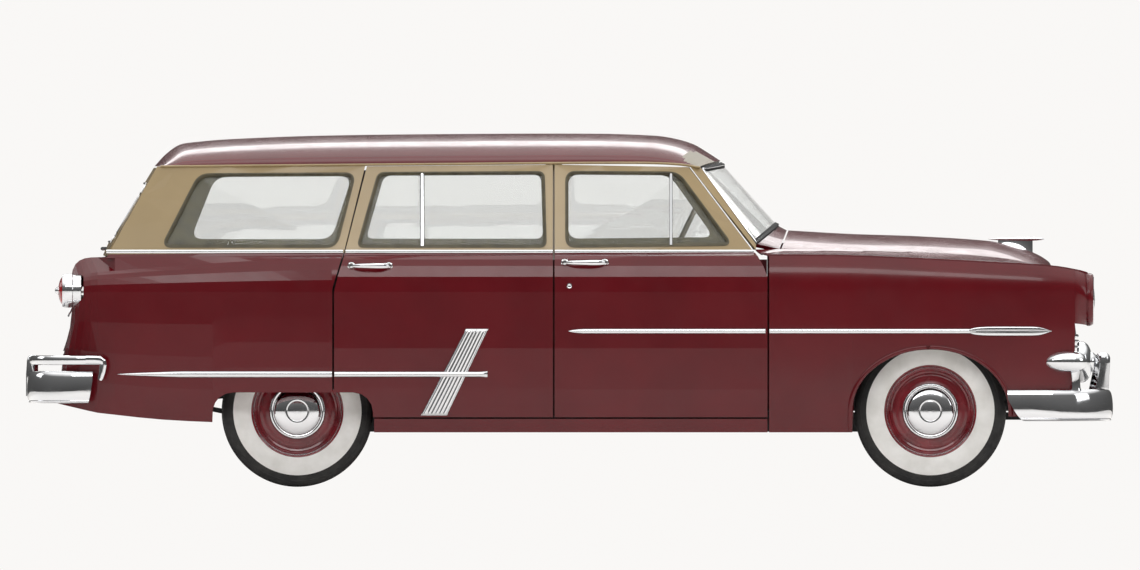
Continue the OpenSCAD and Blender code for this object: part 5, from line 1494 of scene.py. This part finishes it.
def tail_fittings():
    corners = [Vector((-0.86, 1.132)), Vector((0.86, 1.132)), Vector((0.84, 1.401)), Vector((-0.84, 1.401))]
    path = []
    for p in loop(corners, 0.1, arc=6, straight=16):
        y = p.x * gate_half(p.y) * 0.985
        path.append(Vector((gate_x(p.y, y), y, p.y)) - GATE_N * 0.009)
    piece("liftgate_seal", tube(path, 0.0085, closed=True), SEAL, "liftgate")
    path = [p + GATE_N * 0.0095 for p in path]
    piece("liftgate_trim", tube(path, 0.0045, closed=True), CHROME, "liftgate")
    grip = [(gate_x(1.035, y) - 0.01 - 0.022 * (1 - (y / 0.075) ** 6), y, 1.035) for y in spread(24, -0.075, 0.075)]
    feet = [lathe(HANDLE_ROSE, (gate_x(1.035, y), y, 1.035), "x", steps=32) for y in (-0.062, 0.062)]
    piece("tailgate_handle", joined(tube(grip, 0.0075, sides=14), *feet), CHROME, "tailgate")
    bar = [(gate_x(1.1, y) - 0.012, y, 1.1) for y in spread(50, -0.64, 0.64)]
    piece("liftgate_strip", strip(bar, [(-1, 0, 0.3)] * len(bar), 0.016, 0.007), CHROME, "liftgate")
    # Blank number plate in its frame
    rows = [[(plate_x(z) - 0.03, y, z) for y in spread(10, -0.152, 0.152)] for z in spread(10, 0.79, 0.94)]
    piece("number_plate", shell_mesh(rows, ahead(rows, 0.003)), IVORY, "tailgate", merge=COARSE, bevel=0.001)
    edge = rows[0] + [row[-1] for row in rows[1:]] + rows[-1][-2::-1] + [row[0] for row in rows[-2:0:-1]]
    stays = [tube([(gate_x(z, y) + 0.004, y, z), (plate_x(z) - 0.028, y, z)], 0.006)
             for y in (-0.09, 0.09) for z in (0.84, 0.9)]
    piece("plate_frame", joined(tube(edge, 0.005, closed=True), *stays), CHROME, "tailgate")


valance()
tail_fittings()


# ---- floor, light and camera ----
floor_mat = plain("studio_floor", (0.93, 0.91, 0.89), 0.7, grain=2, depth=0.0001, strength=0.02, spread=0.01)
bpy.ops.mesh.primitive_plane_add(size=60, location=(0, 0, -0.001))
floor = bpy.context.object
floor.name = "studio_floor"
floor.data.materials.append(floor_mat)

world = bpy.data.worlds.new("studio")
bpy.context.scene.world = world
world.use_nodes = True
SKY = ((0.0, 0.4), (0.5, 0.07), (0.72, 0.18), (0.82, 0.95), (0.9, 1.45), (1.0, 1.25))
sky_tree = world.node_tree
seen = sky_tree.nodes["Background"]
seen.inputs["Color"].default_value = (1.0, 0.985, 0.97, 1)
seen.inputs["Strength"].default_value = 0.95
# The studio's light: dim at the horizon and bright above, so that chrome and paint show depth
direction = sky_tree.nodes.new("ShaderNodeTexCoord").outputs["Generated"]
split = sky_tree.nodes.new("ShaderNodeSeparateXYZ")
sky_tree.links.new(direction, split.inputs[0])
height = math_node(sky_tree, "MULTIPLY_ADD", split.outputs["Z"], 0.5)
height.node.inputs[2].default_value = 0.5
shade = sky_tree.nodes.new("ShaderNodeValToRGB")
while len(shade.color_ramp.elements) < len(SKY):
    shade.color_ramp.elements.new(0.5)
for stop, (place, value) in zip(shade.color_ramp.elements, SKY):
    stop.position = place
    stop.color = (value, value * 0.99, value * 0.975, 1)
sky_tree.links.new(height, shade.inputs["Fac"])
studio = sky_tree.nodes.new("ShaderNodeBackground")
sky_tree.links.new(shade.outputs["Color"], studio.inputs["Color"])
ray = sky_tree.nodes.new("ShaderNodeLightPath").outputs
direct = math_node(sky_tree, "MAXIMUM", ray["Is Camera Ray"], ray["Is Transmission Ray"])
mix_sky = sky_tree.nodes.new("ShaderNodeMixShader")
sky_tree.links.new(direct, mix_sky.inputs[0])
sky_tree.links.new(studio.outputs[0], mix_sky.inputs[1])
sky_tree.links.new(seen.outputs[0], mix_sky.inputs[2])
sky_tree.links.new(mix_sky.outputs[0], sky_tree.nodes["World Output"].inputs["Surface"])


def lamp(name, place, target, size, power):
    data = bpy.data.lights.new(name, "AREA")
    data.shape = "RECTANGLE"
    data.size, data.size_y = size
    data.energy = power
    obj = bpy.data.objects.new(name, data)
    bpy.context.scene.collection.objects.link(obj)
    obj.location = place
    obj.rotation_euler = (Vector(target) - Vector(place)).to_track_quat("-Z", "Y").to_euler()


for side in (-1, 1):
    lamp(f"side_{side}", (0, side * 6.0, 4.6), (0, 0, 0.9), (9.0, 1.2), 130)
lamp("top", (0, 0, 6.5), (0, 0, 0), (7.0, 2.4), 60)
lamp("front", (7.5, -3.0, 3.0), (1.5, 0, 0.8), (3.0, 2.0), 35)
lamp("rear", (-7.5, 3.0, 3.0), (-1.5, 0, 0.8), (3.0, 2.0), 35)

# The photo's width in pixels times its scale in metres, and the height of its middle line
IMAGE_WIDE, VIEW_Z, VIEW_Y = 1140 * 0.0046145, 0.932, -14.0
camera_data = bpy.data.cameras.new("camera")
camera_data.type = "ORTHO"
camera_data.ortho_scale = IMAGE_WIDE
camera = bpy.data.objects.new("camera", camera_data)
bpy.context.scene.collection.objects.link(camera)
camera.location = (0, VIEW_Y, VIEW_Z)
camera.rotation_euler = (radians(90), 0, 0)
bpy.context.scene.camera = camera
bpy.context.scene.view_settings.view_transform = "Standard"
